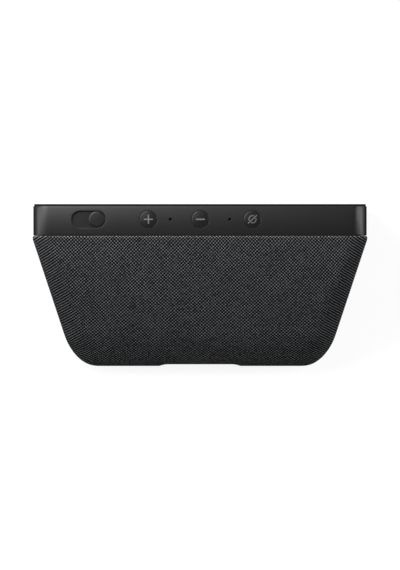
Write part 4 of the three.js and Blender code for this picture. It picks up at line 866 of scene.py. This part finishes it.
# %% Corrugated rings in sectors
def suspension(node, slot, thick, half_waves, sectors, wave_steps=8, around_steps=96):
    """A corrugated ring in place of a CAD node, made in sectors.

    With share from 0 at the inner rim to 1 at the outer one, the upper side lies
    rise * sin(half_waves * pi * share) above its height at the rims, and the lower side lies thick below the
    upper one. A single half wave only rises, and more of them swing both ways, so rise is all or half of the
    node's height. Each row of a sector is that outline, turned a step further round the cone's axis.
    """
    centre = sum(extent(node, CONE_UP)) / 2 * CONE_UP
    points = corners_of(node) - centre
    from_axis = np.hypot(points @ FACE_ACROSS, points @ CONE_UP)
    inner, outer = from_axis.min(), from_axis.max()
    low, high = extent(node, CONE_AXIS)
    rise = (high - low - thick) / min(half_waves, 2)
    share = np.linspace(0, 1, wave_steps * half_waves + 1)
    upper = high - rise + rise * np.sin(half_waves * math.pi * share)
    radius = inner + (outer - inner) * share
    radius = np.concatenate([radius, radius[::-1]])[None, :, None]
    height = np.concatenate([upper, upper[::-1] - thick])[None, :, None]
    half_sector = math.pi / sectors
    for sector in range(sectors):
        middle = 2 * sector * half_sector
        turn = (middle + np.linspace(-half_sector, half_sector, around_steps // sectors + 1))[:, None]
        outwards = np.cos(turn) * FACE_ACROSS + np.sin(turn) * CONE_UP
        piece = loft(f"{node}_{sector + 1}", centre + radius * outwards[:, None] + height * CONE_AXIS)
        finish_piece(piece, None, FINISHES[slot], [node])
        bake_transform(piece)
    print(f"{node}: {inner:.1f} to {outer:.1f} mm from the axis, rise {rise:.2f} mm")


suspension("driver_spider", "spider_cloth", thick=0.35, half_waves=4, sectors=8)
suspension("driver_surround", "rubber", thick=0.4, half_waves=1, sectors=16)

# %% [markdown]
# ## The cloth's surface
#
# The wedge behind the face is wrapped in cloth pulled tight over a shell. Its shape is a stack of sections,
# one for each depth behind the face. A section is a rectangle with larger round corners above than below.
# Going back, the sides draw in, the top slopes down, and at the nose all four sides ease over to a narrow
# edge along a superellipse, which gives a fuller round than a circle. The same formulas made the solid, so
# the cloth and the shell agree.

# %% Sizes of the wedge, in millimetres
CLOTH_LOW, CLOTH_HIGH = face_box("fabric_cover")
WIDTH = CLOTH_HIGH[0] - CLOTH_LOW[0]
CLOTH_FRONT, NOSE_DEPTH = CLOTH_LOW[1], CLOTH_HIGH[1]
SLOPE_TOP = CLOTH_HIGH[2]
SHOULDER_HEIGHT = 44.1
SLOPE_SAG = 4.76
SIDE_DRAW = 13.73
SIDE_STRAIGHT = 1.4
NOSE_DRAW = 29.8
NOSE_ROUND, UNDER_ROUND = 14.6, 8.6
NOSE_LEVEL, NOSE_FLAT = 6.2, 3.5
UNDERSIDE = 2.0
CORNER_FRONT, CORNER_REAR, CORNER_BELOW = 6.3, 13.0, 6.0
SIDE_POWER, TOP_POWER, UNDER_POWER = 2.5, 2.3, 2.2
UPPER_LIMIT, LOWER_LIMIT = 0.55, 0.4
shoulder = NOSE_DEPTH - NOSE_ROUND
slope_run = shoulder - CLOTH_FRONT
side_taper = SIDE_DRAW / (slope_run - SIDE_STRAIGHT)


def height_at(level, depth):
    """The height up the face of a place at a depth, whose level over the table is given."""
    return (level - FACE_ORIGIN[2] + depth * math.sin(LEAN)) / math.cos(LEAN)


nose_low = height_at(NOSE_LEVEL, NOSE_DEPTH)
nose_top = nose_low + NOSE_FLAT
print(f"nose at depth {NOSE_DEPTH:.1f}, height {nose_low:.1f} to {nose_top:.1f}")


# %% Rails and sections of the wedge
def ease(depth, start, end, power):
    """1 before start, falling to 0 at end along a superellipse: (1 - share^power)^(1/power)."""
    share = np.clip((depth - start) / (end - start), 0, 1)
    return (1 - share ** power) ** (1 / power)


def slope(depth):
    """Height of the sloping top, which falls faster and faster, and the angle by which it falls."""
    share = (depth - CLOTH_FRONT) / slope_run
    fall = SLOPE_TOP - SHOULDER_HEIGHT - SLOPE_SAG
    height = SLOPE_TOP - fall * share - SLOPE_SAG * share ** 2
    return height, np.arctan((fall + 2 * SLOPE_SAG * share) / slope_run)


def section(depth, inset=0.0):
    """Half width, top, underside and the two corner radii of the wedge at a depth, drawn in by inset.

    A corner's radius is never more than a share of the section's height, so that the upper and the lower
    corner fit above each other.
    """
    end = NOSE_DEPTH - inset
    side_line = WIDTH / 2 - side_taper * np.maximum(depth - CLOTH_FRONT - SIDE_STRAIGHT, 0)
    side_line = side_line - inset / math.cos(math.atan(side_taper))
    slope_height, slope_angle = slope(depth)
    top_line = slope_height - inset / np.cos(slope_angle)
    under_line = height_at(UNDERSIDE + inset, depth)
    nose_half = WIDTH / 2 - NOSE_DRAW
    half = nose_half + (side_line - nose_half) * ease(depth, shoulder, end, SIDE_POWER)
    top = nose_top + (top_line - nose_top) * ease(depth, shoulder, end, TOP_POWER)
    under = nose_low + (under_line - nose_low) * ease(depth, NOSE_DEPTH - UNDER_ROUND, end, UNDER_POWER)
    share = np.clip((depth - CLOTH_FRONT) / slope_run, 0, 1)
    corner = CORNER_FRONT + (CORNER_REAR - CORNER_FRONT) * share ** 2 * (3 - 2 * share)
    upper = np.minimum(np.maximum(corner - inset, 1), UPPER_LIMIT * (top - under))
    lower = np.minimum(np.maximum(CORNER_BELOW - inset, 1), LOWER_LIMIT * (top - under))
    return half, top, under, upper, lower


# %% [markdown]
# ## One continuous sheet of cloth
#
# Real cloth has two faces, 0.8 mm apart. The sheet below starts at the nose on the inside, runs forward
# inside the wedge, turns round the hem's folded edge, comes out over a rolled lip behind the bezel, and
# goes back over the outside to the nose. So one grid of rows and columns is the whole cover. Each row is a
# depth and an inset, and each column is a place around the section.

# %% Rows: the path from the inner nose over the lip to the outer nose
CLOTH_THICK = 0.8
HEM_WIDTH = 2.5
LIP_ROUND = 0.55
FOLD_ROUND = CLOTH_THICK / 2
FOLD_POINTS, LIP_POINTS = 7, 9


def nose_steps(front, end, slope_steps, round_steps):
    """Depths from front to end: even along the slope, then closing up towards the nose."""
    even = np.linspace(front, shoulder, slope_steps + 1)
    turn = np.linspace(0, math.pi / 2, round_steps + 1)[1:]
    return np.concatenate([even, shoulder + (end - shoulder) * np.sin(turn)])


hem_back = CLOTH_FRONT + CLOTH_THICK
inside = nose_steps(hem_back + FOLD_ROUND, NOSE_DEPTH - CLOTH_THICK, slope_steps=16, round_steps=12)[::-1]
fold = np.linspace(-math.pi / 2, math.pi / 2, FOLD_POINTS)
lip = np.linspace(0, math.pi / 2, LIP_POINTS)
outside = nose_steps(CLOTH_FRONT + LIP_ROUND, NOSE_DEPTH, slope_steps=44, round_steps=26)[1:]
fold_inset = HEM_WIDTH - FOLD_ROUND
rows = [(inside, np.full(len(inside), CLOTH_THICK)),
        (np.full(2, hem_back), np.array([CLOTH_THICK + FOLD_ROUND, fold_inset])),
        (CLOTH_FRONT + FOLD_ROUND * (1 - np.sin(fold)), fold_inset + FOLD_ROUND * np.cos(fold)),
        (CLOTH_FRONT + LIP_ROUND * (1 - np.cos(lip)), LIP_ROUND * (1 - np.sin(lip))),
        (outside, np.zeros(len(outside)))]
row_depth, row_inset = (np.concatenate(values) for values in zip(*rows))
print(len(row_depth), "rows of cloth")

# %% [markdown]
# ## Columns: once around the section
#
# A column is a number from 0 to 5, from the middle of the top, over the corner, down the side, round the
# lower corner and back to the middle of the underside. The other half mirrors it. At the nose the section
# is a flat slit, and each point of its upper edge is joined to the point below it, which closes the sheet.

# %% Columns, and the points where they meet the rows
STRAIGHT_STEPS, CORNER_STEPS, SIDE_STEPS = 34, 14, 12
steps_of = [STRAIGHT_STEPS, CORNER_STEPS, SIDE_STEPS, CORNER_STEPS, STRAIGHT_STEPS]
stretches = [start + np.arange(steps) / steps for start, steps in enumerate(steps_of)]
column = np.concatenate([*stretches, [5.0]])


def around(column, depth, inset):
    """Across and height of the section's points: column 0 is the middle of the top and 5 of the underside."""
    half, top, under, upper, lower = (part[:, None] for part in section(depth, inset))
    along = column[None, :]
    turn = math.pi / 2 * (along - np.floor(along))
    places = [
        (along * (half - upper), top),
        (half - upper + upper * np.sin(turn), top - upper + upper * np.cos(turn)),
        (half, top - upper - (along - 2) * (top - upper - under - lower)),
        (half - lower + lower * np.cos(turn), under + lower - lower * np.sin(turn)),
        ((5 - along) * (half - lower), under),
    ]
    within = [along < end for end in (1, 2, 3, 4)]
    return [np.select(within, values[:4], values[4]) for values in zip(*places)]


x, height = around(column, row_depth, row_inset)
x = np.concatenate([x, -x[:, -2:0:-1]], axis=1)
height = np.concatenate([height, height[:, -2:0:-1]], axis=1)
count, girth = x.shape
print(f"{count} rows of {girth} points")


# %% The cloth's mesh
def nose_faces(row):
    """Faces that close the slit at the nose: each upper point of the row is joined to the one below it."""
    middle = len(column) // 2
    upper = np.arange(-middle, middle + 1) % girth
    lower = (len(column) - 1 - np.arange(-middle, middle + 1)) % girth
    strip = np.stack([upper[:-1], upper[1:], lower[1:], lower[:-1]], axis=1) + row * girth
    kept = [list(dict.fromkeys(face)) for face in strip.tolist()]
    return [face for face in kept if len(face) > 2]


inner_nose = nose_faces(0)
outer_nose = [face[::-1] for face in nose_faces(count - 1)]
cloth = new_object("cloth_cover", on_face(x, row_depth[:, None], height), tube_faces(count, girth),
                   inner_nose + outer_nose)
face_outwards(cloth)
print("cloth:", len(cloth.data.polygons), "faces")

# %% [markdown]
# ## The seam behind the bezel
#
# A thin rubber strip closes the gap between the bezel and the cloth's hem, so no light shows through it. It
# is a flat ring with the bezel's outline, set in a little.

# %% The seam strip
STRIP_INSET, STRIP_WIDTH, STRIP_FIT = 0.45, 1.4, 0.02
seam_depths = np.array([BEZEL_HIGH[1] + STRIP_FIT, CLOTH_FRONT - STRIP_FIT])
strip = loft("seam_strip", frame_rings(seam_depths, [STRIP_INSET] * 2, face_half, BEZEL_CORNER))
cut(strip, loft("cutter", frame_rings(seam_depths + [-PAST, PAST], [STRIP_INSET + STRIP_WIDTH] * 2, face_half,
                                      BEZEL_CORNER)))
finish_piece(strip, "housing", FINISHES["rubber"])

# %% [markdown]
# ## Openings in the cloth
#
# The cloth leaves a long hole for the sockets at the back and a big one underneath, which the base plate
# fills. The base plate's outline narrows towards the back and has round corners, and the socket recess is a
# slot.

# %% An outline with rounded corners
def rounded_outline(corners, radius, steps=8):
    """A polygon with rounded corners: each corner becomes the arc that touches both of its sides."""
    corners = np.asarray(corners, float)
    ring = []
    for before, here, after in zip(np.roll(corners, 1, 0), corners, np.roll(corners, -1, 0)):
        to_before, to_after = unit(before - here), unit(after - here)
        half_angle = math.acos(np.clip(to_before @ to_after, -1, 1)) / 2
        centre = here + unit(to_before + to_after) * radius / math.sin(half_angle)
        start = here + to_before * radius / math.tan(half_angle) - centre
        end = here + to_after * radius / math.tan(half_angle) - centre
        share = np.linspace(0, 1, steps + 1)[:, None]
        swing = math.pi - 2 * half_angle
        arc = np.sin((1 - share) * swing) * start + np.sin(share * swing) * end
        ring.append(centre + arc / math.sin(swing))
    return np.concatenate(ring)


# %% Cut the socket opening and the base opening
PORT_WIDTH, PORT_HEIGHT = 37.2, 9.6
PORT_FRONT, PORT_REAR = 2.0, 8.0
BASE_CORNER = 8.0
BASE_HALF_FRONT, BASE_HALF_REAR = 61.3, 51.3
BASE_GAP_FRONT, BASE_GAP_REAR = 0.2, 0.3
BASE_BELOW, BASE_ABOVE = -2.0, 3.2
(_, cup_front, cup_low), (_, cup_rear, cup_high) = np.array(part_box("port_cup")) / MM
(_, base_front, _), (_, base_rear, _) = np.array(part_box("base_plate")) / MM
base_front, base_rear = base_front - BASE_GAP_FRONT, base_rear + BASE_GAP_REAR
base_outline = rounded_outline([(BASE_HALF_FRONT, base_front), (BASE_HALF_REAR, base_rear),
                                (-BASE_HALF_REAR, base_rear), (-BASE_HALF_FRONT, base_front)], BASE_CORNER)
base_plug = loft("cutter", np.array([np.insert(base_outline, 2, level, axis=1)
                                     for level in (BASE_BELOW, BASE_ABOVE)]))
port_outline = slot_ring(PORT_WIDTH, PORT_HEIGHT) + [0, (cup_low + cup_high) / 2]
port_plug = loft("cutter", np.array([np.insert(port_outline, 1, y, axis=1)
                                     for y in (cup_front - PORT_FRONT, cup_rear + PORT_REAR)]))
cut(cloth, port_plug, base_plug)
print("cloth after cutting:", len(cloth.data.polygons), "faces")

# %% [markdown]
# ## Where each thread lies
#
# A woven cloth shows its threads, so each point of the cloth needs to know which threads cross there. Two
# numbers say it: U counts pairs of warp threads across, and V pairs of weft threads along the slope. They
# follow the way that a cover is pulled on. The warp fans out a little towards the back, and the weft curves
# towards the bar at the sides. Over the round side edges the cloth is pulled askew, so the weft turns up
# more and more. There one diagonal of the weave closes up and only the other is still seen. A third number,
# Askew, says how far that has gone.

# %% Thread coordinates from a point's place
WARP_PAIR, WEFT_PAIR = 1.479, 1.95
WARP_FAN, FAN_END = 0.034, 1.3
WEFT_SMILE, SMILE_REACH, SMILE_POWER = 1.19, 62.0, 5
PULL_START, PULL_FULL = 11.0, 4.9
EDGE_PULL = 0.375
ASKEW_START, ASKEW_FULL = 8.0, 5.0

FINE_STEPS = 400
fine_depth = np.concatenate([np.linspace(CLOTH_FRONT, shoulder, FINE_STEPS),
                             nose_steps(shoulder, NOSE_DEPTH, slope_steps=1, round_steps=FINE_STEPS)[2:]])
fine_top = section(fine_depth)[1]
slope_length = np.concatenate([[0], np.cumsum(np.hypot(np.diff(fine_depth), np.diff(fine_top)))])


def edge_pull(from_edge):
    """How far the weft is pulled towards the bar at a distance from the side.

    Coming from the middle it starts as a parabola, and nearer the side it goes on as a straight line.
    """
    reach = PULL_START - PULL_FULL
    curved = np.clip(PULL_START - from_edge, 0, reach)
    return EDGE_PULL * (curved ** 2 / (2 * reach) + np.maximum(PULL_FULL - from_edge, 0))


def thread_coordinates(points, below):
    """U, V and Askew at points given in millimetres. below marks points whose face looks down at the table.

    Across, threads are counted along the section: over the round edge by the arc and then down the side.
    Along, they are counted by the length of the slope. The fan, the smile and the pull then move both.
    """
    x, depth, height = from_face(points)
    half, top, _, upper, _ = section(np.clip(depth, CLOTH_FRONT, NOSE_DEPTH - 1e-6))
    outward = np.clip(np.abs(x) - (half - upper), 0, upper)
    turn = np.where(height > top - upper, np.arcsin(np.clip(outward / upper, 0, 1)), math.pi / 2)
    down = np.maximum(top - upper - height, 0)
    share = np.clip((depth - CLOTH_FRONT) / slope_run, 0, FAN_END)
    crowding = upper * turn - outward
    across = np.minimum(np.abs(x), half) * (1 - WARP_FAN * share) + crowding + down
    smile = WEFT_SMILE * (np.minimum(np.abs(x), SMILE_REACH) / SMILE_REACH) ** SMILE_POWER
    from_edge = np.maximum(half - np.abs(x), 0)
    along = np.interp(depth, fine_depth, slope_length) + smile + edge_pull(from_edge)
    u = np.where(below, x, np.sign(x) * across) / WARP_PAIR
    v = np.where(below, depth / WARP_PAIR, along / WEFT_PAIR + crowding / WARP_PAIR)
    askew = np.clip((ASKEW_START - from_edge) / (ASKEW_START - ASKEW_FULL), 0, 1)
    return u, v, np.where(below, 0, askew)


# %% Thread coordinates on the cloth
LOOKS_DOWN = -0.8
mesh = cloth.data
corner_vertex = read_array(mesh.loops, "vertex_index", kind=np.int32)
points = read_array(mesh.vertices, "co", 3).astype(float)[corner_vertex] / MM
below = np.repeat(read_array(mesh.polygons, "normal", 3)[:, 2] < LOOKS_DOWN,
                  read_array(mesh.polygons, "loop_total", kind=np.int32))
u, v, askew = thread_coordinates(points, below)
thread_map = np.stack([u, v], axis=1).astype(np.float32)
mesh.uv_layers.new(name="threads").data.foreach_set("uv", thread_map.ravel())
mesh.attributes.new("askew", "FLOAT", "CORNER").data.foreach_set("value", askew.astype(np.float32))
print(f"the cloth has {np.ptp(u) * 2:.0f} threads around and {np.ptp(v) * 2:.0f} along")

# %% [markdown]
# ## Plain weave as a pattern
#
# In a plain weave each thread goes over one and under the next, and its neighbours do the opposite. The
# product of two cosines has that checkerboard: it peaks where a warp thread lies on top and dips where the
# weft covers it. The same checkerboard is also the sum of two diagonal waves, half of each, and where the
# cloth is pulled askew one of them is taken away. "Plain weave" turns the pattern into a height and a share
# of light thread. A slow noise bends the threads slightly, and each crossing gets its own shade, as spun
# yarn does.

# %% The plain weave group
weave_group, g, given, made = new_group(
    "plain weave",
    [("Threads", None), ("Askew", 0.0), ("Waver", 0.06), ("Unevenness", 0.55), ("Hole", 0.46)],
    ["Height", "Light", "Shade"])
# Bend the threads: noise from -0.5 to 0.5, scaled by four times Waver.
waver = g.noise(given["Threads"], 0.35, detail=1.0, output="Color")
offset = g.vector("SUBTRACT", waver, (0.5, 0.5, 0.5))
push = g.node("ShaderNodeVectorMath", {0: offset}, operation="SCALE")
g.put(push.inputs["Scale"], g.math("MULTIPLY", given["Waver"], 4.0))
bent = g.vector("ADD", given["Threads"], push.outputs[0])
# The checkerboard is half of each diagonal wave, and Askew takes the rising one away.
parts = g.node("ShaderNodeSeparateXYZ", {0: bent}).outputs
across = g.math("ABSOLUTE", parts["X"])
falling, rising = (g.math("COSINE", g.math("MULTIPLY", g.math(way, parts["Y"], across), 2 * math.pi))
                   for way in ("SUBTRACT", "ADD"))
kept = g.math("MULTIPLY", rising, g.math("SUBTRACT", 1.0, given["Askew"]))
pattern = g.math("MULTIPLY", g.math("ADD", falling, kept), 0.5)
level = g.math("MULTIPLY_ADD", pattern, 0.5, 0.5)
g.put(made["Height"], level)
# Below Hole the eye sees between the threads. A power under 1 makes a thread broad and its edge steep.
g.put(made["Light"], g.math("POWER", g.ramp(level, given["Hole"], 1.0), 0.6))
# Every crossing has its own shade, and a slow drift goes over the whole cloth.
shifted = g.vector("ADD", bent, (0.25, 0.25, 0.5))
crossing = g.vector("SNAP", shifted, (0.5, 0.5, 1.0))
yarn = g.node("ShaderNodeTexWhiteNoise", {"Vector": crossing}, noise_dimensions="2D").outputs["Value"]
uneven = g.math("MULTIPLY_ADD", g.math("POWER", yarn, 0.35), 1.35, -1.0)
spread = g.math("MULTIPLY", uneven, given["Unevenness"])
drift = g.math("MULTIPLY_ADD", g.noise(given["Threads"], 0.12), 0.5, 0.75)
g.put(made["Shade"], g.math("MULTIPLY", drift, g.math("ADD", spread, 1.0)))
print("plain weave:", len(weave_group.nodes), "nodes")

# %% [markdown]
# ## The cloth's finish
#
# Charcoal cloth is grey yarn with black between the threads. One colour with a bump on it would look like
# moulded plastic, so the weave's share of light thread goes from the gap's colour to the yarn's. Along the
# lip behind the bar the cloth is stretched over an edge, and there its yarn is painted paler: a painted
# highlight for the light that the edge catches. Yarn has almost no gloss, and the bump only rounds the
# threads.

# %% The cloth's finish
GAP_COLOUR = (0.002, 0.002, 0.002, 1)
YARN_COLOUR = (0.198, 0.205, 0.216, 1)
# Painted highlight: the paler yarn colour along the lip, and how far behind the lip it fades.
HEM_HIGHLIGHT_COLOUR = (0.36, 0.37, 0.39, 1)
HEM_HIGHLIGHT_REACH = 0.9
WEAVE_RELIEF = 0.3
cloth_finish, wires, shader, place = new_material("charcoal weave")
threads = wires.node("ShaderNodeUVMap", uv_map="threads").outputs["UV"]
askew = wires.node("ShaderNodeAttribute", attribute_name="askew").outputs["Fac"]
weave = wires.node("ShaderNodeGroup", {"Threads": threads, "Askew": askew}, node_tree=weave_group).outputs
light = wires.math("MULTIPLY", weave["Light"], weave["Shade"], clamp=True)
leaning = wires.vector("DOT_PRODUCT", place, tuple(FACE_IN), output="Value")
lip_line = float(np.dot(FACE_ORIGIN, FACE_IN) + CLOTH_FRONT) * MM
# Painted highlight: close behind the lip the yarn's colour turns paler, for the light that the lip's edge catches.
painted_hem_highlight = wires.ramp(leaning, lip_line + HEM_HIGHLIGHT_REACH * MM, lip_line)
yarn_with_hem_highlight = wires.blend(painted_hem_highlight, YARN_COLOUR, HEM_HIGHLIGHT_COLOUR)
wires.put(shader.inputs["Base Color"], wires.blend(light, GAP_COLOUR, yarn_with_hem_highlight))
shader.inputs["Roughness"].default_value = 0.9
shader.inputs["Specular IOR Level"].default_value = 0.1
wires.put(shader.inputs["Normal"], wires.bump(weave["Height"], WEAVE_RELIEF, strength=0.8))
finish_piece(cloth, "housing", cloth_finish, ["fabric_cover"], crisp_from=60)

# %% The area of the cloth's sheet
cloth_area = read_array(cloth.data.polygons, "area").sum(dtype=float) / 2
print(f"the cloth's sheet, half of its closed shell, has {cloth_area * 1e4:.0f} cm2")

# %% [markdown]
# ## Table and surroundings
#
# The object stands on a white sheet in a pale room, as it would for a catalogue. White paper right under it
# would throw so much light back that black plastic looked grey. So the paper and the room show their white
# only to rays that the eye follows: straight from the camera, through glass, or mirrored in a glossy
# surface. Light that reaches the object in other ways finds the paper grey and the room dim. Close to the
# object, mirrored rays find the paper nearly black instead: a painted shade in the reflections, for the
# shade that the object throws there.

# %% White for the eye alone
def seen_as_white(wires, mirrored):
    """1 for rays from the camera and through glass, mirrored for glossy rays, and 0 for all other light."""
    path = wires.node("ShaderNodeLightPath").outputs
    direct = wires.math("MAXIMUM", path["Is Camera Ray"], path["Is Transmission Ray"])
    return wires.math("MAXIMUM", direct, wires.math("MULTIPLY", path["Is Glossy Ray"], mirrored))


# %% The table
HALF_TABLE = 3.0
TABLE_DROP = 0.05
SHADED_TO, MIRRORED_FROM = 0.2, 0.6
PAPER_WHITE = 0.91
PAPER_GREY = (0.16, 0.16, 0.16, 1)
# Painted shade: in reflections the paper is nearly black wherever its white has faded out.
PAPER_SHADE_IN_REFLECTIONS = (0.02, 0.02, 0.02, 1)
table_corners = np.array([(-1, -1, 0), (1, -1, 0), (1, 1, 0), (-1, 1, 0)]) * HALF_TABLE / MM
table = new_object("table_top", table_corners - [0, 0, TABLE_DROP], np.array([[0, 1, 2, 3]]))
paper, wires, shader, place = new_material("white paper")
distance = wires.vector("LENGTH", place, output="Value")
# Painted shade: near the object, glossy rays lose the paper's white and see it nearly black.
seen = seen_as_white(wires, wires.ramp(distance, SHADED_TO, MIRRORED_FROM))
glossy = wires.node("ShaderNodeLightPath").outputs["Is Glossy Ray"]
wires.put(shader.inputs["Base Color"], wires.blend(glossy, PAPER_GREY, PAPER_SHADE_IN_REFLECTIONS))
shader.inputs["Roughness"].default_value = 0.9
shader.inputs["Emission Color"].default_value = (1, 1, 1, 1)
wires.put(shader.inputs["Emission Strength"], wires.math("MULTIPLY", seen, PAPER_WHITE))
table.data.materials.append(paper)
print("the paper lies", TABLE_DROP, "mm under the object")

# %% The surroundings
AMBIENT = (0.06, 0.06, 0.06, 1)
WALLS_TO, WALLS_FROM = 0.3, 0.15
surroundings = bpy.data.worlds.new("pale room")
surroundings.use_nodes = True
bpy.context.scene.world = surroundings
wires = Wires(surroundings.node_tree)
direction = wires.node("ShaderNodeTexCoord").outputs["Generated"]
upward = wires.node("ShaderNodeSeparateXYZ", {0: direction}).outputs["Z"]
seen = seen_as_white(wires, wires.ramp(upward, WALLS_TO, WALLS_FROM))
backdrop = surroundings.node_tree.nodes["Background"]
wires.put(backdrop.inputs["Color"], wires.blend(seen, AMBIENT, (1, 1, 1, 1)))
backdrop.inputs["Strength"].default_value = 1.0

# %% [markdown]
# ## Light
#
# Black plastic shows what it reflects, so where the lamps stand matters more than how strong they are. A
# soft lamp in front of the bar, a little to one side, lights its top evenly. A tall narrow one at either
# side puts a highlight on each of the bar's round ends, and a weak one behind the object lifts the cloth.
# All of them are placed from the middle of the bar and turned towards the middle of the object.

# %% Soft lights
middle = [(low + high) / 2 for low, high in zip(*cad_box)]
bar_centre = on_face(0.0, bar_line, BEZEL_HIGH[2])


def turned_towards(stand, place, target):
    """Places a lamp or a camera, which look along their own -Z, and turns it towards a target."""
    stand.location = place
    stand.rotation_euler = (Vector(target) - Vector(place)).to_track_quat("-Z", "Y").to_euler()
    bpy.context.scene.collection.objects.link(stand)


def soft_light(name, across, forward, up, size, watts):
    """A rectangular lamp. Its place is across, forward and up the face from the bar's middle, in metres."""
    lamp = bpy.data.lights.new(name, "AREA")
    lamp.shape = "RECTANGLE"
    lamp.size, lamp.size_y = size
    lamp.energy = watts
    place = bar_centre * MM + across * FACE_ACROSS - forward * FACE_IN + up * FACE_UP
    turned_towards(bpy.data.objects.new(name, lamp), place, middle)


soft_light("key", 0.164, 0.165, 0.3, size=(0.194, 0.251), watts=1.6)
soft_light("side_left", 0.54, 0.05, 0.33, size=(0.13, 0.66), watts=1.8)
soft_light("side_right", -0.54, 0.05, 0.32, size=(0.13, 0.66), watts=1.9)
soft_light("rear", 0.0, -1.0, 0.35, size=(0.8, 0.2), watts=0.3)
print(len(bpy.data.lights), "lamps")

# %% [markdown]
# ## Camera
#
# The camera looks down on the object from behind, along the face, so the bar is seen square on and the
# cloth falls away from the lens. It shows no perspective, as a catalogue's camera hardly does, far away and
# with a long lens.

# %% The camera
CAMERA_AZIMUTH = math.radians(180)
CAMERA_RISE = math.radians(90) - LEAN
CAMERA_DISTANCE, CLIP_END = 3.0, 20.0
FRAME_HEIGHT = 0.25205
camera_data = bpy.data.cameras.new("camera")
camera_data.type = "ORTHO"
camera_data.ortho_scale = FRAME_HEIGHT
camera_data.clip_end = CLIP_END
camera = bpy.data.objects.new("camera", camera_data)
towards = np.array([math.sin(CAMERA_AZIMUTH) * math.cos(CAMERA_RISE),
                    -math.cos(CAMERA_AZIMUTH) * math.cos(CAMERA_RISE), math.sin(CAMERA_RISE)])
target = on_face(0.0, NOSE_DEPTH / 2, SLOPE_TOP / 2) * MM
turned_towards(camera, target + towards * CAMERA_DISTANCE, target)
bpy.context.scene.camera = camera
bpy.context.scene.view_settings.view_transform = "Standard"
